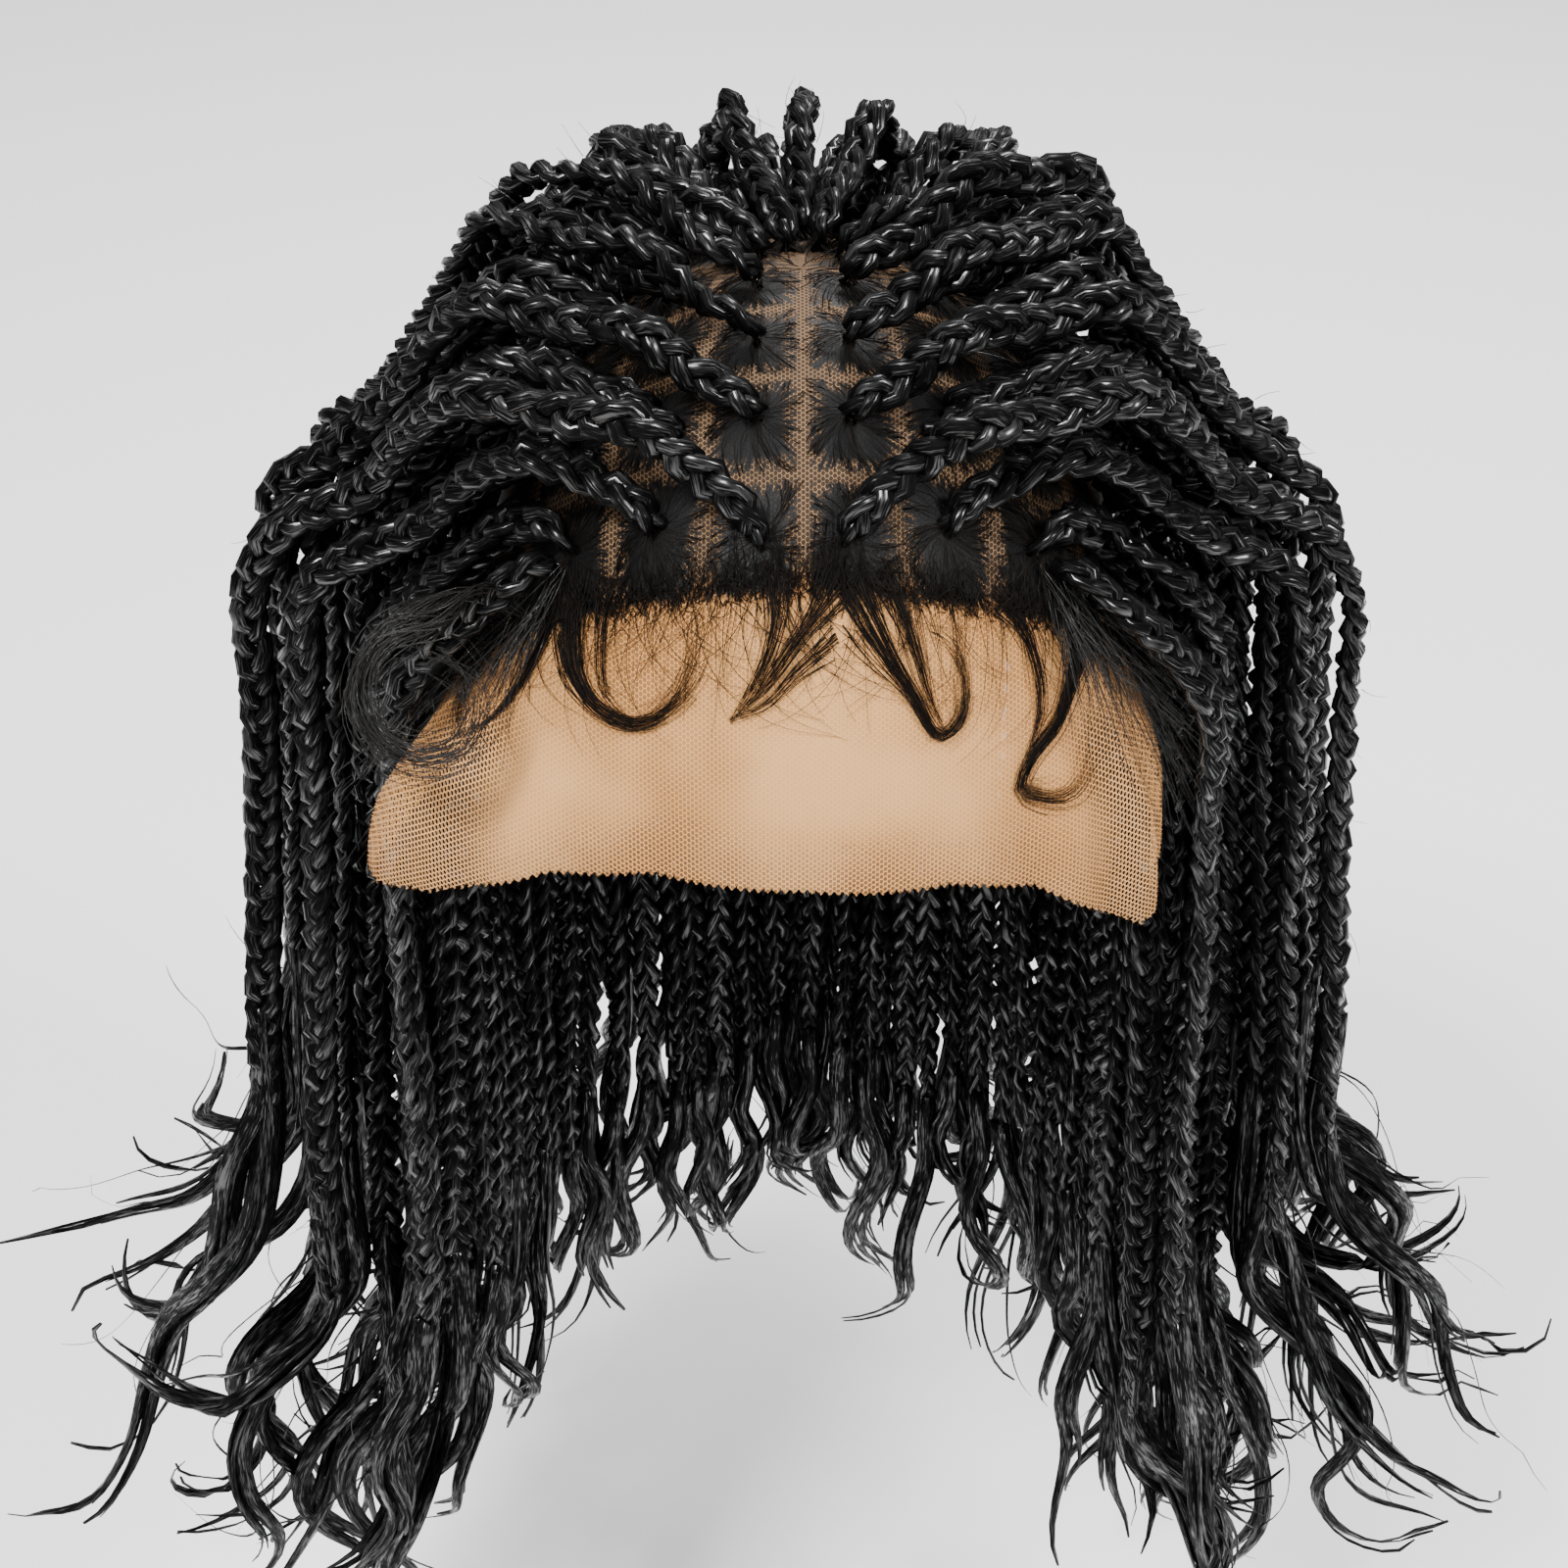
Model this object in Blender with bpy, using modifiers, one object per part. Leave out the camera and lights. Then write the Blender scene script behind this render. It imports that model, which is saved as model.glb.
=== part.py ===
"""Box braid wig on a lace cap, for Blender 4.5. Metres, +Z up, the face side towards -Y.

The origin is the inside of the cap at its top, where the head's crown sits. The cap is one
lace shell that runs on past the hairline as a loose front edge. Braids are rooted in rows on
both sides of a centre parting and in a fan behind the crown. Each one is a single lock of
hair: plaited along its length, and loose and curled at its end. They lie in three layers, the
ones rooted nearest the parting on top, over thicker bundles of braids close to the head.

A lane is the line that a braid takes over the cap. Lanes are numbered from 0, the foremost,
to LAST_LANE, the one down the middle of the back. They fan out from the parting, so two lanes
never cross, and each layer takes every third of a lane.
"""

import math

import bmesh
import bpy
import numpy as np

# The head, measured inside the cap
HEAD_WIDTH = 0.152
HEAD_LENGTH = 0.196
CROWN_HEIGHT = 0.100
SKULL_BELOW = 0.160

# The lace cap, with depths measured down from its top
LACE_THICKNESS = 0.001
HAIRLINE_DEPTH = 0.037
FRONT_EDGE_DEPTH = 0.098
FLAP_DEPTH = 0.118
FLAP_STAND_OFF = 0.034
EAR_DEPTH = 0.104
NAPE_DEPTH = 0.150

# The braids and their sections of scalp
BRAID_WIDTH = 0.010
ROOT_WIDTH = 0.006
ROOT_STEM = 0.003
LAYER_GAP = 0.003
SCALP_GAP = 0.0015
SEAT_GAP = 0.0003
SECTION_LENGTH = 0.022
SECTION_WIDTH = 0.025
ARCH_HEIGHT = 0.012
ARCH_REACH = 0.064
SWEEP = math.radians(28)

# Lanes that each layer takes on a side, and the lane from which they fan out behind the crown
LANES_PER_LAYER = 7
FAN_LANE = 4.3
FAN_SPACING = 0.6

# The bundles of braids under them
UNDER_THICKNESS = 0.016
UNDER_RISE = 0.022
UNDER_GAP = 0.002
UNDERS_PER_SIDE = 4
UNDER_START_LANE = 0.5

# How the hair hangs, with depths measured down from the top of the head
PLAIT_END_DEPTH = 0.268
UNDER_END_DEPTH = 0.310
LENGTH_STEP = 0.033
FLARE = 0.008
LOOSE_LENGTH = 0.170
LOOSE_WIDTH = 0.010
TIP_WIDTH = 0.003
FRONT_HANG_ANGLE = math.radians(-11)

# Mesh fineness
BRAID_SIDES = 5
PLAIT_RINGS = 15
LOOSE_RINGS = 9
CAP_SEGMENTS = 40
CAP_RINGS = 10
PATH_STEPS = 240

# Layers. Columns: name, levels above the lowest, root in sections out from the parting, first
# lane, share of ARCH_HEIGHT, lean of the loose end in degrees, LENGTH_STEPs added to the plait
LAYERS = (
    ("top_braid", 2, 0.45, 2 / 3, 1.0, 84, -1),
    ("upper_braid", 1, 1.45, 1 / 3, 0.0, 50, 0),
    ("low_braid", 0, 2.45, 0.0, 0.0, 2, 1),
)

# Lock ends. Columns: lean added and swing in degrees, number of waves, share of LOOSE_LENGTH,
# LENGTH_STEPs added to the plait, drift to a later lane on the way over the cap, and sway
# sideways below it as a share of BRAID_WIDTH
LOCKS = (
    (-16, 30, 1.1, 1.00, 0.00, 0.05, -0.6),
    (6, 40, 1.3, 0.92, 0.24, -0.05, 0.5),
    (14, 26, 1.0, 0.96, -0.24, 0.05, 0.7),
    (-10, 44, 1.2, 0.84, 0.30, -0.02, -0.4),
    (4, 32, 1.2, 1.04, -0.12, 0.03, 0.6),
    (-4, 40, 1.4, 1.00, 0.18, -0.05, -0.7),
    (18, 22, 0.9, 0.86, -0.30, 0.01, 0.4),
    (-12, 36, 1.2, 0.90, 0.36, -0.03, -0.5),
)

# The cap's lower edge. Columns: azimuth to the wearer's left in degrees, depth, share of
# FLAP_STAND_OFF
CAP_EDGE = (
    (-180, NAPE_DEPTH, 0.00),
    (-140, NAPE_DEPTH * 0.92, 0.00),
    (-105, EAR_DEPTH, 0.00),
    (-72, EAR_DEPTH, 0.00),
    (-63, FLAP_DEPTH, 1.00),
    (-54, FLAP_DEPTH * 0.98, 0.75),
    (-40, FRONT_EDGE_DEPTH * 1.06, 0.24),
    (-24, FRONT_EDGE_DEPTH, 0.04),
    (0, FRONT_EDGE_DEPTH, 0.00),
    (24, FRONT_EDGE_DEPTH * 1.03, 0.04),
    (38, FRONT_EDGE_DEPTH * 1.10, 0.14),
    (54, FLAP_DEPTH * 1.08, 0.50),
    (63, FLAP_DEPTH * 1.02, 0.45),
    (72, EAR_DEPTH, 0.00),
    (105, EAR_DEPTH, 0.00),
    (140, NAPE_DEPTH * 0.92, 0.00),
    (180, NAPE_DEPTH, 0.00),
)

# An under bundle from top to bottom. Columns: share of its drop, of its width, of its thickness
UNDER_SECTIONS = (
    (0.00, 0.80, 0.75),
    (0.06, 1.00, 1.00),
    (0.22, 1.00, 1.00),
    (0.45, 1.00, 1.00),
    (0.68, 0.98, 1.00),
    (0.86, 0.84, 0.80),
    (1.00, 0.50, 0.45),
)

HALF_WIDTH = HEAD_WIDTH / 2 + LACE_THICKNESS
HALF_LENGTH = HEAD_LENGTH / 2 + LACE_THICKNESS
DOME_HEIGHT = CROWN_HEIGHT + LACE_THICKNESS
LYING_HEIGHT = BRAID_WIDTH / 2 + SCALP_GAP
LEVEL = BRAID_WIDTH + LAYER_GAP
UNDER_LEVEL = UNDER_THICKNESS + LAYER_GAP
RIGHT_ANGLE = math.pi / 2
LAST_LANE = LANES_PER_LAYER + LAYERS[0][3]


def smooth_step(value, start, end):
    """0 before start, 1 after end, and an even S-curve between them."""
    share = np.clip((value - start) / (end - start), 0, 1)
    return share * share * (3 - 2 * share)


def lengths_along(points):
    """Distance of each point from the first one, measured along the line."""
    return np.concatenate([[0], np.cumsum(np.linalg.norm(np.diff(points, axis=0), axis=1))])


def parting_y(distance):
    """Y of the point on the centre parting at that distance behind the hairline."""
    angle = np.linspace(-RIGHT_ANGLE, RIGHT_ANGLE, PATH_STEPS * 4)
    line = np.stack([HALF_LENGTH * np.sin(angle), DOME_HEIGHT * np.cos(angle)], axis=1)
    along = lengths_along(line)
    hairline_angle = -math.acos((CROWN_HEIGHT - HAIRLINE_DEPTH) / DOME_HEIGHT)
    start = np.interp(hairline_angle, angle, along)
    return float(np.interp(start + distance, along, line[:, 0]))


def dome(x, y):
    """Points of the cap's outer face above its widest level, and its outward normals."""
    rise = np.sqrt(np.clip(1 - (x / HALF_WIDTH) ** 2 - (y / HALF_LENGTH) ** 2, 0, 1))
    points = np.stack([x, y, DOME_HEIGHT * rise - CROWN_HEIGHT], axis=1)
    normals = np.stack([x / HALF_WIDTH**2, y / HALF_LENGTH**2, rise / DOME_HEIGHT], axis=1)
    return points, normals / np.linalg.norm(normals, axis=1)[:, None]


def hang_angle(lane):
    """Angle round the head, from its side towards the back, at which a lane leaves the cap."""
    return FRONT_HANG_ANGLE + (RIGHT_ANGLE - FRONT_HANG_ANGLE) * lane / LAST_LANE


def fan_share(lane):
    """0 in the rows beside the parting, and 1 in the fan behind the crown."""
    return float(smooth_step(lane, FAN_LANE - 1, FAN_LANE))


def lane_line(lane, drift):
    """Line over the cap from the parting down to the widest level, and the normals along it."""
    rows = 0.5 - LAYERS[0][3] + min(lane, FAN_LANE)
    foot = np.array([0, parting_y(rows * SECTION_LENGTH)])
    turn = max(0, lane - FAN_LANE) / (LAST_LANE - FAN_LANE)
    direction = SWEEP + (RIGHT_ANGLE - SWEEP) * turn
    angle = hang_angle(lane + drift)
    hang = np.array([HALF_WIDTH * math.cos(angle), HALF_LENGTH * math.sin(angle)])
    heading = np.array([math.cos(direction), math.sin(direction)])
    middle = foot + heading * np.linalg.norm(hang - foot) * 0.5
    share = np.sin(np.linspace(0, RIGHT_ANGLE, PATH_STEPS))[:, None]
    plan = (1 - share) ** 2 * foot + 2 * share * (1 - share) * middle + share**2 * hang
    return dome(plan[:, 0], plan[:, 1])


def lift(along, lane_length, lane, levels):
    """Height of a braid's centre above the cap, where it has come that far along its lane."""
    under_line = lane_length - UNDER_RISE
    under = UNDER_LEVEL * smooth_step(lane, UNDER_START_LANE * 0.3, UNDER_START_LANE * 0.6)
    height = LYING_HEIGHT + under * smooth_step(
        along, under_line - SECTION_WIDTH, under_line - SECTION_WIDTH / 6
    )
    for level in range(levels):
        column = 2 - levels + level + FAN_SPACING * fan_share(lane)
        height = height + LEVEL * smooth_step(
            along, (column + 0.75) * SECTION_WIDTH, (column + 1.25) * SECTION_WIDTH
        )
    return height


def root_turn(height):
    """The stem and quarter turn from the scalp up to a lying braid: shares along and heights."""
    angle = np.linspace(0, RIGHT_ANGLE, 7)
    rise = height - SEAT_GAP - ROOT_STEM
    along = np.concatenate([[0], rise * (1 - np.cos(angle))])
    return along, np.concatenate([[SEAT_GAP], SEAT_GAP + ROOT_STEM + rise * np.sin(angle)])


def plait_route(lane, drift, root, levels, arch, end_depth, sway):
    """Centre line of the plaited stretch: up from its root, over the cap and down."""
    lane_points, normals = lane_line(lane, drift)
    along = lengths_along(lane_points)
    turn_along, turn_height = root_turn(LYING_HEIGHT)
    lying = along[along > root + turn_along[-1]]
    at = np.concatenate([root + turn_along, lying])
    base = np.stack([np.interp(at, along, lane_points[:, k]) for k in range(3)], axis=1)
    out = np.stack([np.interp(at, along, normals[:, k]) for k in range(3)], axis=1)
    height = lift(at, along[-1], lane + drift, levels)
    height += arch * np.sin(np.pi * np.clip((at - root) / ARCH_REACH, 0, 1)) ** 2
    height[: len(turn_height)] = turn_height
    over = base + out * height[:, None]
    drop = np.linspace(0, end_depth - CROWN_HEIGHT, PATH_STEPS // 2)[1:, None]
    share = smooth_step(drop, 0, drop[-1])
    sideways = np.array([-out[-1][1], out[-1][0], 0])
    down = over[-1] + FLARE * share * out[-1] + sway * share * sideways
    return np.concatenate([over, down - drop * np.array([0, 0, 1])]), out[-1]


def loose_route(start, outwards, lean, swing, waves, length):
    """Centre line of the loose end: it leans outwards and swings in waves."""
    share = np.linspace(0, 1, PATH_STEPS // 2)
    heading = np.radians(lean * share**1.5 + swing * np.sin(2 * np.pi * waves * share))
    step = length / (len(share) - 1)
    out = np.cumsum(np.sin(heading)) * step
    down = np.cumsum(np.cos(heading)) * step
    return start + out[:, None] * outwards - down[:, None] * np.array([0, 0, 1])


def spread_points(points, values, count):
    """count points of a line, set closer together where it bends, with their values."""
    steps = np.diff(points, axis=0)
    lengths = np.linalg.norm(steps, axis=1)
    units = steps / lengths[:, None]
    bends = np.arccos(np.clip((units[1:] * units[:-1]).sum(axis=1), -1, 1))
    weight = lengths + BRAID_WIDTH * 3 * np.concatenate([[0], bends])
    along = np.concatenate([[0], np.cumsum(weight)])
    at = np.linspace(0, along[-1], count)
    spread = np.stack([np.interp(at, along, points[:, k]) for k in range(3)], axis=1)
    return spread, np.interp(at, along, values)


def clear_scene():
    for obj in list(bpy.data.objects):
        bpy.data.objects.remove(obj)


def new_collection(name):
    collection = bpy.data.collections.new(name)
    bpy.context.scene.collection.children.link(collection)
    return collection


def plain_material(name, colour, roughness):
    material = bpy.data.materials.new(name)
    material.use_nodes = True
    shader = material.node_tree.nodes["Principled BSDF"]
    shader.inputs["Base Color"].default_value = (*colour, 1)
    shader.inputs["Roughness"].default_value = roughness
    shader.inputs["Metallic"].default_value = 0
    return material


def lock_section(guides):
    """Outline of a lock of hair, which the tubes follow at their own width."""
    curve = bpy.data.curves.new("lock_section", "CURVE")
    curve.dimensions = "2D"
    spline = curve.splines.new("POLY")
    spline.points.add(BRAID_SIDES - 1)
    for k, point in enumerate(spline.points):
        angle = -2 * math.pi * k / BRAID_SIDES
        point.co = (BRAID_WIDTH / 2 * math.cos(angle), BRAID_WIDTH / 2 * math.sin(angle), 0, 1)
    spline.use_cyclic_u = True
    section = bpy.data.objects.new("lock_section", curve)
    section.hide_render = True
    section.display_type = "WIRE"
    guides.objects.link(section)
    return section


def lock_tube(name, points, widths, section, material, collection):
    """Tube of hair along a line, with its own width at each point."""
    curve = bpy.data.curves.new(name, "CURVE")
    curve.dimensions = "3D"
    curve.bevel_mode = "OBJECT"
    curve.bevel_object = section
    curve.use_fill_caps = True
    spline = curve.splines.new("POLY")
    spline.points.add(len(points) - 1)
    for point, place, width in zip(spline.points, points, widths):
        point.co = (*place, 1)
        point.radius = width / BRAID_WIDTH
    curve.materials.append(material)
    collection.objects.link(bpy.data.objects.new(name, curve))


def make_braid(name, lane, side, root_column, layer, lock, section, material, collection):
    """One braid with its loose end. side is 1 towards +X and -1 towards -X."""
    _, levels, _, _, arch_share, layer_lean, layer_steps = layer
    lean, swing, waves, length_share, steps, drift, sway = lock
    if lane == LAST_LANE:
        drift = sway = 0
    plait, outwards = plait_route(
        lane, drift, root_column * SECTION_WIDTH, levels,
        ARCH_HEIGHT * arch_share * (0.4 + 0.6 * fan_share(lane + 1)),
        PLAIT_END_DEPTH + LENGTH_STEP * (layer_steps + steps), sway * BRAID_WIDTH,
    )
    widths = np.interp(
        lengths_along(plait), [ROOT_STEM, LYING_HEIGHT * 2], [ROOT_WIDTH, BRAID_WIDTH]
    )
    body, body_widths = spread_points(plait[1:], widths[1:], PLAIT_RINGS - 1)
    loose = loose_route(
        plait[-1], outwards, layer_lean + lean, swing, waves, LOOSE_LENGTH * length_share
    )
    share = np.linspace(0, 1, len(loose))
    loose_widths = np.interp(
        share, [0, 0.5, 1], [BRAID_WIDTH, LOOSE_WIDTH * 0.9, TIP_WIDTH]
    )
    loose, loose_widths = spread_points(loose, loose_widths, LOOSE_RINGS)
    points = np.concatenate([plait[:1], body, loose[1:]])
    points[:, 0] *= side
    all_widths = np.concatenate([[ROOT_WIDTH], body_widths, loose_widths[1:]])
    lock_tube(name, points, all_widths, section, material, collection)


def make_braids(section, material, collection):
    """Three layers of braids on each side, and one top braid down the middle of the back."""
    for number, layer in enumerate(LAYERS):
        for side, word in ((-1, "left"), (1, "right")):
            for k in range(LANES_PER_LAYER):
                lane = layer[3] + k
                spacing = FAN_SPACING * fan_share(lane)
                if layer is LAYERS[0] and k != LANES_PER_LAYER - 2:
                    spacing = 0
                lock = LOCKS[(3 * number + 2 * k + (1 if side > 0 else 0)) % len(LOCKS)]
                make_braid(
                    f"{layer[0]}_{word}_{k + 1}", lane, side, layer[2] + spacing, layer, lock,
                    section, material, collection,
                )
    top = LAYERS[0]
    make_braid(
        "top_braid_middle", LAST_LANE, 1, top[2] + FAN_SPACING, top, LOCKS[3],
        section, material, collection,
    )


def cap_point(azimuth, down_share):
    """Point of the cap's outer face, with the share of the way from the top to the edge."""
    degrees, depths, stand_offs = zip(*CAP_EDGE)
    turn = math.degrees(azimuth)
    edge_height = CROWN_HEIGHT - np.interp(turn, degrees, depths)
    below = edge_height / (DOME_HEIGHT if edge_height > 0 else SKULL_BELOW)
    angle = RIGHT_ANGLE - down_share * (RIGHT_ANGLE - math.asin(below))
    height = DOME_HEIGHT if angle > 0 else SKULL_BELOW
    hairline_share = HAIRLINE_DEPTH / FRONT_EDGE_DEPTH
    out = FLAP_STAND_OFF * np.interp(turn, degrees, stand_offs)
    out *= smooth_step(down_share, hairline_share + 0.3, 1)
    return (
        (HALF_WIDTH * math.cos(angle) + out) * math.sin(azimuth),
        -(HALF_LENGTH * math.cos(angle) + out) * math.cos(azimuth),
        height * math.sin(angle) - CROWN_HEIGHT,
    )


def make_cap(material, collection):
    """Lace cap: the upper half of a sphere, drawn down over the head to the cap's edge."""
    mesh = bpy.data.meshes.new("lace_cap")
    shell = bmesh.new()
    bmesh.ops.create_uvsphere(
        shell, u_segments=CAP_SEGMENTS, v_segments=2 * CAP_RINGS, radius=1
    )
    lower = [v for v in shell.verts if v.co.z < -1e-4]
    bmesh.ops.delete(shell, geom=lower, context="VERTS")
    for v in shell.verts:
        azimuth = math.atan2(v.co.x, -v.co.y)
        v.co = cap_point(azimuth, 1 - math.asin(min(1, v.co.z)) / RIGHT_ANGLE)
    bmesh.ops.recalc_face_normals(shell, faces=shell.faces)
    shell.to_mesh(mesh)
    shell.free()
    mesh.shade_smooth()
    mesh.materials.append(material)
    cap = bpy.data.objects.new("lace_cap", mesh)
    collection.objects.link(cap)
    wall = cap.modifiers.new("lace", "SOLIDIFY")
    wall.thickness = LACE_THICKNESS
    wall.offset = -1


def under_line(angle, drop):
    """Point of the cap's side and of the plumb line under it, and its outward normal."""
    rise = max(0, UNDER_RISE - drop)
    tilt = math.asin(rise / DOME_HEIGHT)
    x = HALF_WIDTH * math.cos(tilt) * math.cos(angle)
    y = HALF_LENGTH * math.cos(tilt) * math.sin(angle)
    normal = np.array([x / HALF_WIDTH**2, y / HALF_LENGTH**2, math.sin(tilt) / DOME_HEIGHT])
    z = DOME_HEIGHT * math.sin(tilt) - CROWN_HEIGHT - max(0, drop - UNDER_RISE)
    return np.array([x, y, z]), normal / np.linalg.norm(normal)


def make_under(name, angle, half_turn, side, material, collection):
    """Bundle of braids under the others: a thick curved strip that thins at its loose end."""
    full_drop = UNDER_RISE + UNDER_END_DEPTH - CROWN_HEIGHT
    seat = SEAT_GAP + HALF_LENGTH * (1 - math.cos(half_turn / 2))
    rings = []
    bundle = bmesh.new()
    for drop_share, width_share, thickness_share in UNDER_SECTIONS:
        thickness = UNDER_THICKNESS * thickness_share
        inner, outer = [], []
        for across in (-1, 0, 1):
            point, normal = under_line(
                angle + across * half_turn * width_share, full_drop * drop_share
            )
            inner.append(point + normal * seat)
            outer.append(point + normal * (seat + thickness))
        ring = inner + outer[::-1]
        rings.append([bundle.verts.new((side * p[0], p[1], p[2])) for p in ring])
    for upper, lower in zip(rings, rings[1:]):
        for k in range(len(upper)):
            after = (k + 1) % len(upper)
            bundle.faces.new((upper[k], upper[after], lower[after], lower[k]))
    for end in (rings[0], rings[-1]):
        bundle.faces.new((end[0], end[1], end[4], end[5]))
        bundle.faces.new((end[1], end[2], end[3], end[4]))
    bmesh.ops.recalc_face_normals(bundle, faces=bundle.faces)
    mesh = bpy.data.meshes.new(name)
    bundle.to_mesh(mesh)
    bundle.free()
    mesh.materials.append(material)
    collection.objects.link(bpy.data.objects.new(name, mesh))


def make_unders(material, collection):
    start = hang_angle(UNDER_START_LANE)
    step = (RIGHT_ANGLE - start) / UNDERS_PER_SIDE
    half_turn = step / 2 - UNDER_GAP / HEAD_WIDTH
    for side, word in ((-1, "left"), (1, "right")):
        for k in range(UNDERS_PER_SIDE):
            angle = start + (k + 0.5) * step
            make_under(f"under_bundle_{word}_{k + 1}", angle, half_turn, side, material, collection)


def main():
    clear_scene()
    parts = new_collection("braid_wig")
    guides = new_collection("guides")
    lace = plain_material("lace", (0.62, 0.42, 0.29), 0.8)
    hair = plain_material("hair", (0.012, 0.012, 0.013), 0.4)
    make_cap(lace, parts)
    make_unders(hair, parts)
    make_braids(lock_section(guides), hair, parts)


main()
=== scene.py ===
"""The braid wig's look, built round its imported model. Metres, +Z up, the face side towards -Y."""

import math

import bpy
import numpy as np
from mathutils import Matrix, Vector


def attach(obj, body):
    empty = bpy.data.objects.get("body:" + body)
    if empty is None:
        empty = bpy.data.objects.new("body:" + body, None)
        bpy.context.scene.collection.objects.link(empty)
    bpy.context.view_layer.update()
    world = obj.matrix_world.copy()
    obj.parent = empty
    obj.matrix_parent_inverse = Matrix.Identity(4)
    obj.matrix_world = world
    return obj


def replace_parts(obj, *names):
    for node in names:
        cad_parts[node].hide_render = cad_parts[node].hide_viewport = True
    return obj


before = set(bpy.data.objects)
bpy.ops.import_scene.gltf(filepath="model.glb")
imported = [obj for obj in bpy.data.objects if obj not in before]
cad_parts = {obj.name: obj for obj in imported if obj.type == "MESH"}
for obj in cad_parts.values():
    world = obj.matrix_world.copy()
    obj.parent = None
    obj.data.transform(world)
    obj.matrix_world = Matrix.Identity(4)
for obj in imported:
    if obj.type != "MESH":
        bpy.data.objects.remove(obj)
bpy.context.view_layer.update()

# ---------------------------------------------------------------- lace cap
# The cap is one shell of fine hexagonal net in a skin tone. Every lock of hair is knotted into
# it, and past the hairline it runs on as a bare front edge with pinked teeth, which lies on
# the forehead and stands off in a loose fold at each temple.
HALF_WIDTH = 0.077
HALF_LENGTH = 0.099
DOME_HEIGHT = 0.101
DOME_CENTRE_Z = -0.100
SKULL_BELOW = 0.160
HAIRLINE_DEPTH = 0.037
FRONT_EDGE_DEPTH = 0.098
FLAP_STAND_OFF = 0.034
LOOSE_FROM = HAIRLINE_DEPTH / FRONT_EDGE_DEPTH + 0.3
LACE_THICKNESS = 0.00025
CAP_COLUMNS = 200
CAP_ROWS = 72
NET_PITCH = 0.00122
TOOTH_WIDTH = 0.0012
LACE_COLOUR = (0.62, 0.315, 0.110, 1)
LACE_PALE_COLOUR = (0.66, 0.350, 0.135, 1)
LACE_HOLE_COLOUR = (0.34, 0.150, 0.046, 1)
# At the parts behind the hairline: painted shade, with darker threads and holes painted near black
# for the shade inside the wig and the dark hair under it
PART_THREAD_SHADED_COLOUR = (0.235, 0.136, 0.066, 1)
PART_HOLE_SHADE_COLOUR = (0.030, 0.018, 0.010, 1)
KNOT_BLACK = (0.0006, 0.0006, 0.0006, 1)
KNOT_LIGHT = (0.0060, 0.0056, 0.0054, 1)

# Lower edge. Columns: azimuth to the wearer's left in degrees, depth, share of the stand-off
CAP_EDGE = (
    (-180, 0.150, 0.00), (-140, 0.138, 0.00), (-105, 0.104, 0.00), (-72, 0.104, 0.00),
    (-63, 0.118, 1.00), (-54, 0.1156, 0.75), (-40, 0.1039, 0.24), (-24, 0.098, 0.04),
    (0, 0.098, 0.00), (24, 0.1009, 0.04), (38, 0.1078, 0.14), (54, 0.1274, 0.50),
    (63, 0.1204, 0.45), (72, 0.104, 0.00), (105, 0.104, 0.00), (140, 0.138, 0.00),
    (180, 0.150, 0.00),
)
# Small folds of the loose edge. Columns: azimuth in degrees, half width, height
LACE_FOLDS = (
    (-70, 2.2, 0.0035), (-64, 1.8, -0.0022), (-59, 2.0, 0.0024), (-50, 3.0, -0.0016),
    (-43, 3.2, 0.0014), (43, 3.0, 0.0016), (50, 2.4, -0.0020), (56, 2.0, 0.0030),
    (61, 1.8, -0.0022), (67, 2.0, 0.0032),
)


def smooth_step(value, start, end):
    share = np.clip((value - start) / (end - start), 0, 1)
    return share * share * (3 - 2 * share)


def cap_surface(azimuth, share, inwards=0.0):
    """Points of the cap: azimuth from the front, and share of the way from top to edge."""
    degrees, depths, stand_offs = (np.array(column) for column in zip(*CAP_EDGE))
    turn = np.degrees(azimuth)
    edge = -DOME_CENTRE_Z - np.interp(turn, degrees, depths)
    below = edge / np.where(edge > 0, DOME_HEIGHT, SKULL_BELOW)
    angle = math.pi / 2 - share * (math.pi / 2 - np.arcsin(below))
    height = np.where(angle > 0, DOME_HEIGHT, SKULL_BELOW)
    loose = smooth_step(share, LOOSE_FROM, 1)
    out = FLAP_STAND_OFF * np.interp(turn, degrees, stand_offs) * loose - inwards
    for middle, half, rise in LACE_FOLDS:
        out = out + rise * loose * np.exp(-((turn - middle) / half) ** 2)
    return np.stack([
        (HALF_WIDTH * np.cos(angle) + out) * np.sin(azimuth),
        -(HALF_LENGTH * np.cos(angle) + out) * np.cos(azimuth),
        height * np.sin(angle) + DOME_CENTRE_Z,
    ], axis=-1)


def dome_normal(points):
    """Outward directions at points on or over the cap, level below its widest line."""
    up = np.clip(points[:, 2] - DOME_CENTRE_Z, 0, None) / DOME_HEIGHT**2
    out = np.stack([points[:, 0] / HALF_WIDTH**2, points[:, 1] / HALF_LENGTH**2, up], axis=1)
    return out / np.maximum(np.linalg.norm(out, axis=1), 1e-9)[:, None]


def above_dome(points):
    """How far points lie outside the cap's face, as a share of its size."""
    scaled = (points - [0, 0, DOME_CENTRE_Z]) / [HALF_WIDTH, HALF_LENGTH, DOME_HEIGHT]
    return np.linalg.norm(scaled, axis=1) - 1


def ring_centres(node):
    """Middle of each ring of a braid's solid in order from its root, read from its faces."""
    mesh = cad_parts[node].data
    corners = np.array([v.co[:] for v in mesh.vertices])
    keys, index = np.unique(np.round(corners * 1e6).astype(int), axis=0, return_inverse=True)
    index = index.ravel()
    places = np.zeros((len(keys), 3))
    places[index] = corners
    neighbours = [set() for _ in keys]
    for face in mesh.polygons:
        ring = [int(index[v]) for v in face.vertices]
        for a in ring:
            neighbours[a].update(ring)
    current = list(np.argsort(above_dome(places))[:5])
    seen = set(current)
    centres = []
    while current:
        centres.append(places[current].mean(axis=0))
        following = sorted(set().union(*(neighbours[a] for a in current)) - seen)
        seen.update(following)
        current = following
    return np.array(centres)


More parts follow.
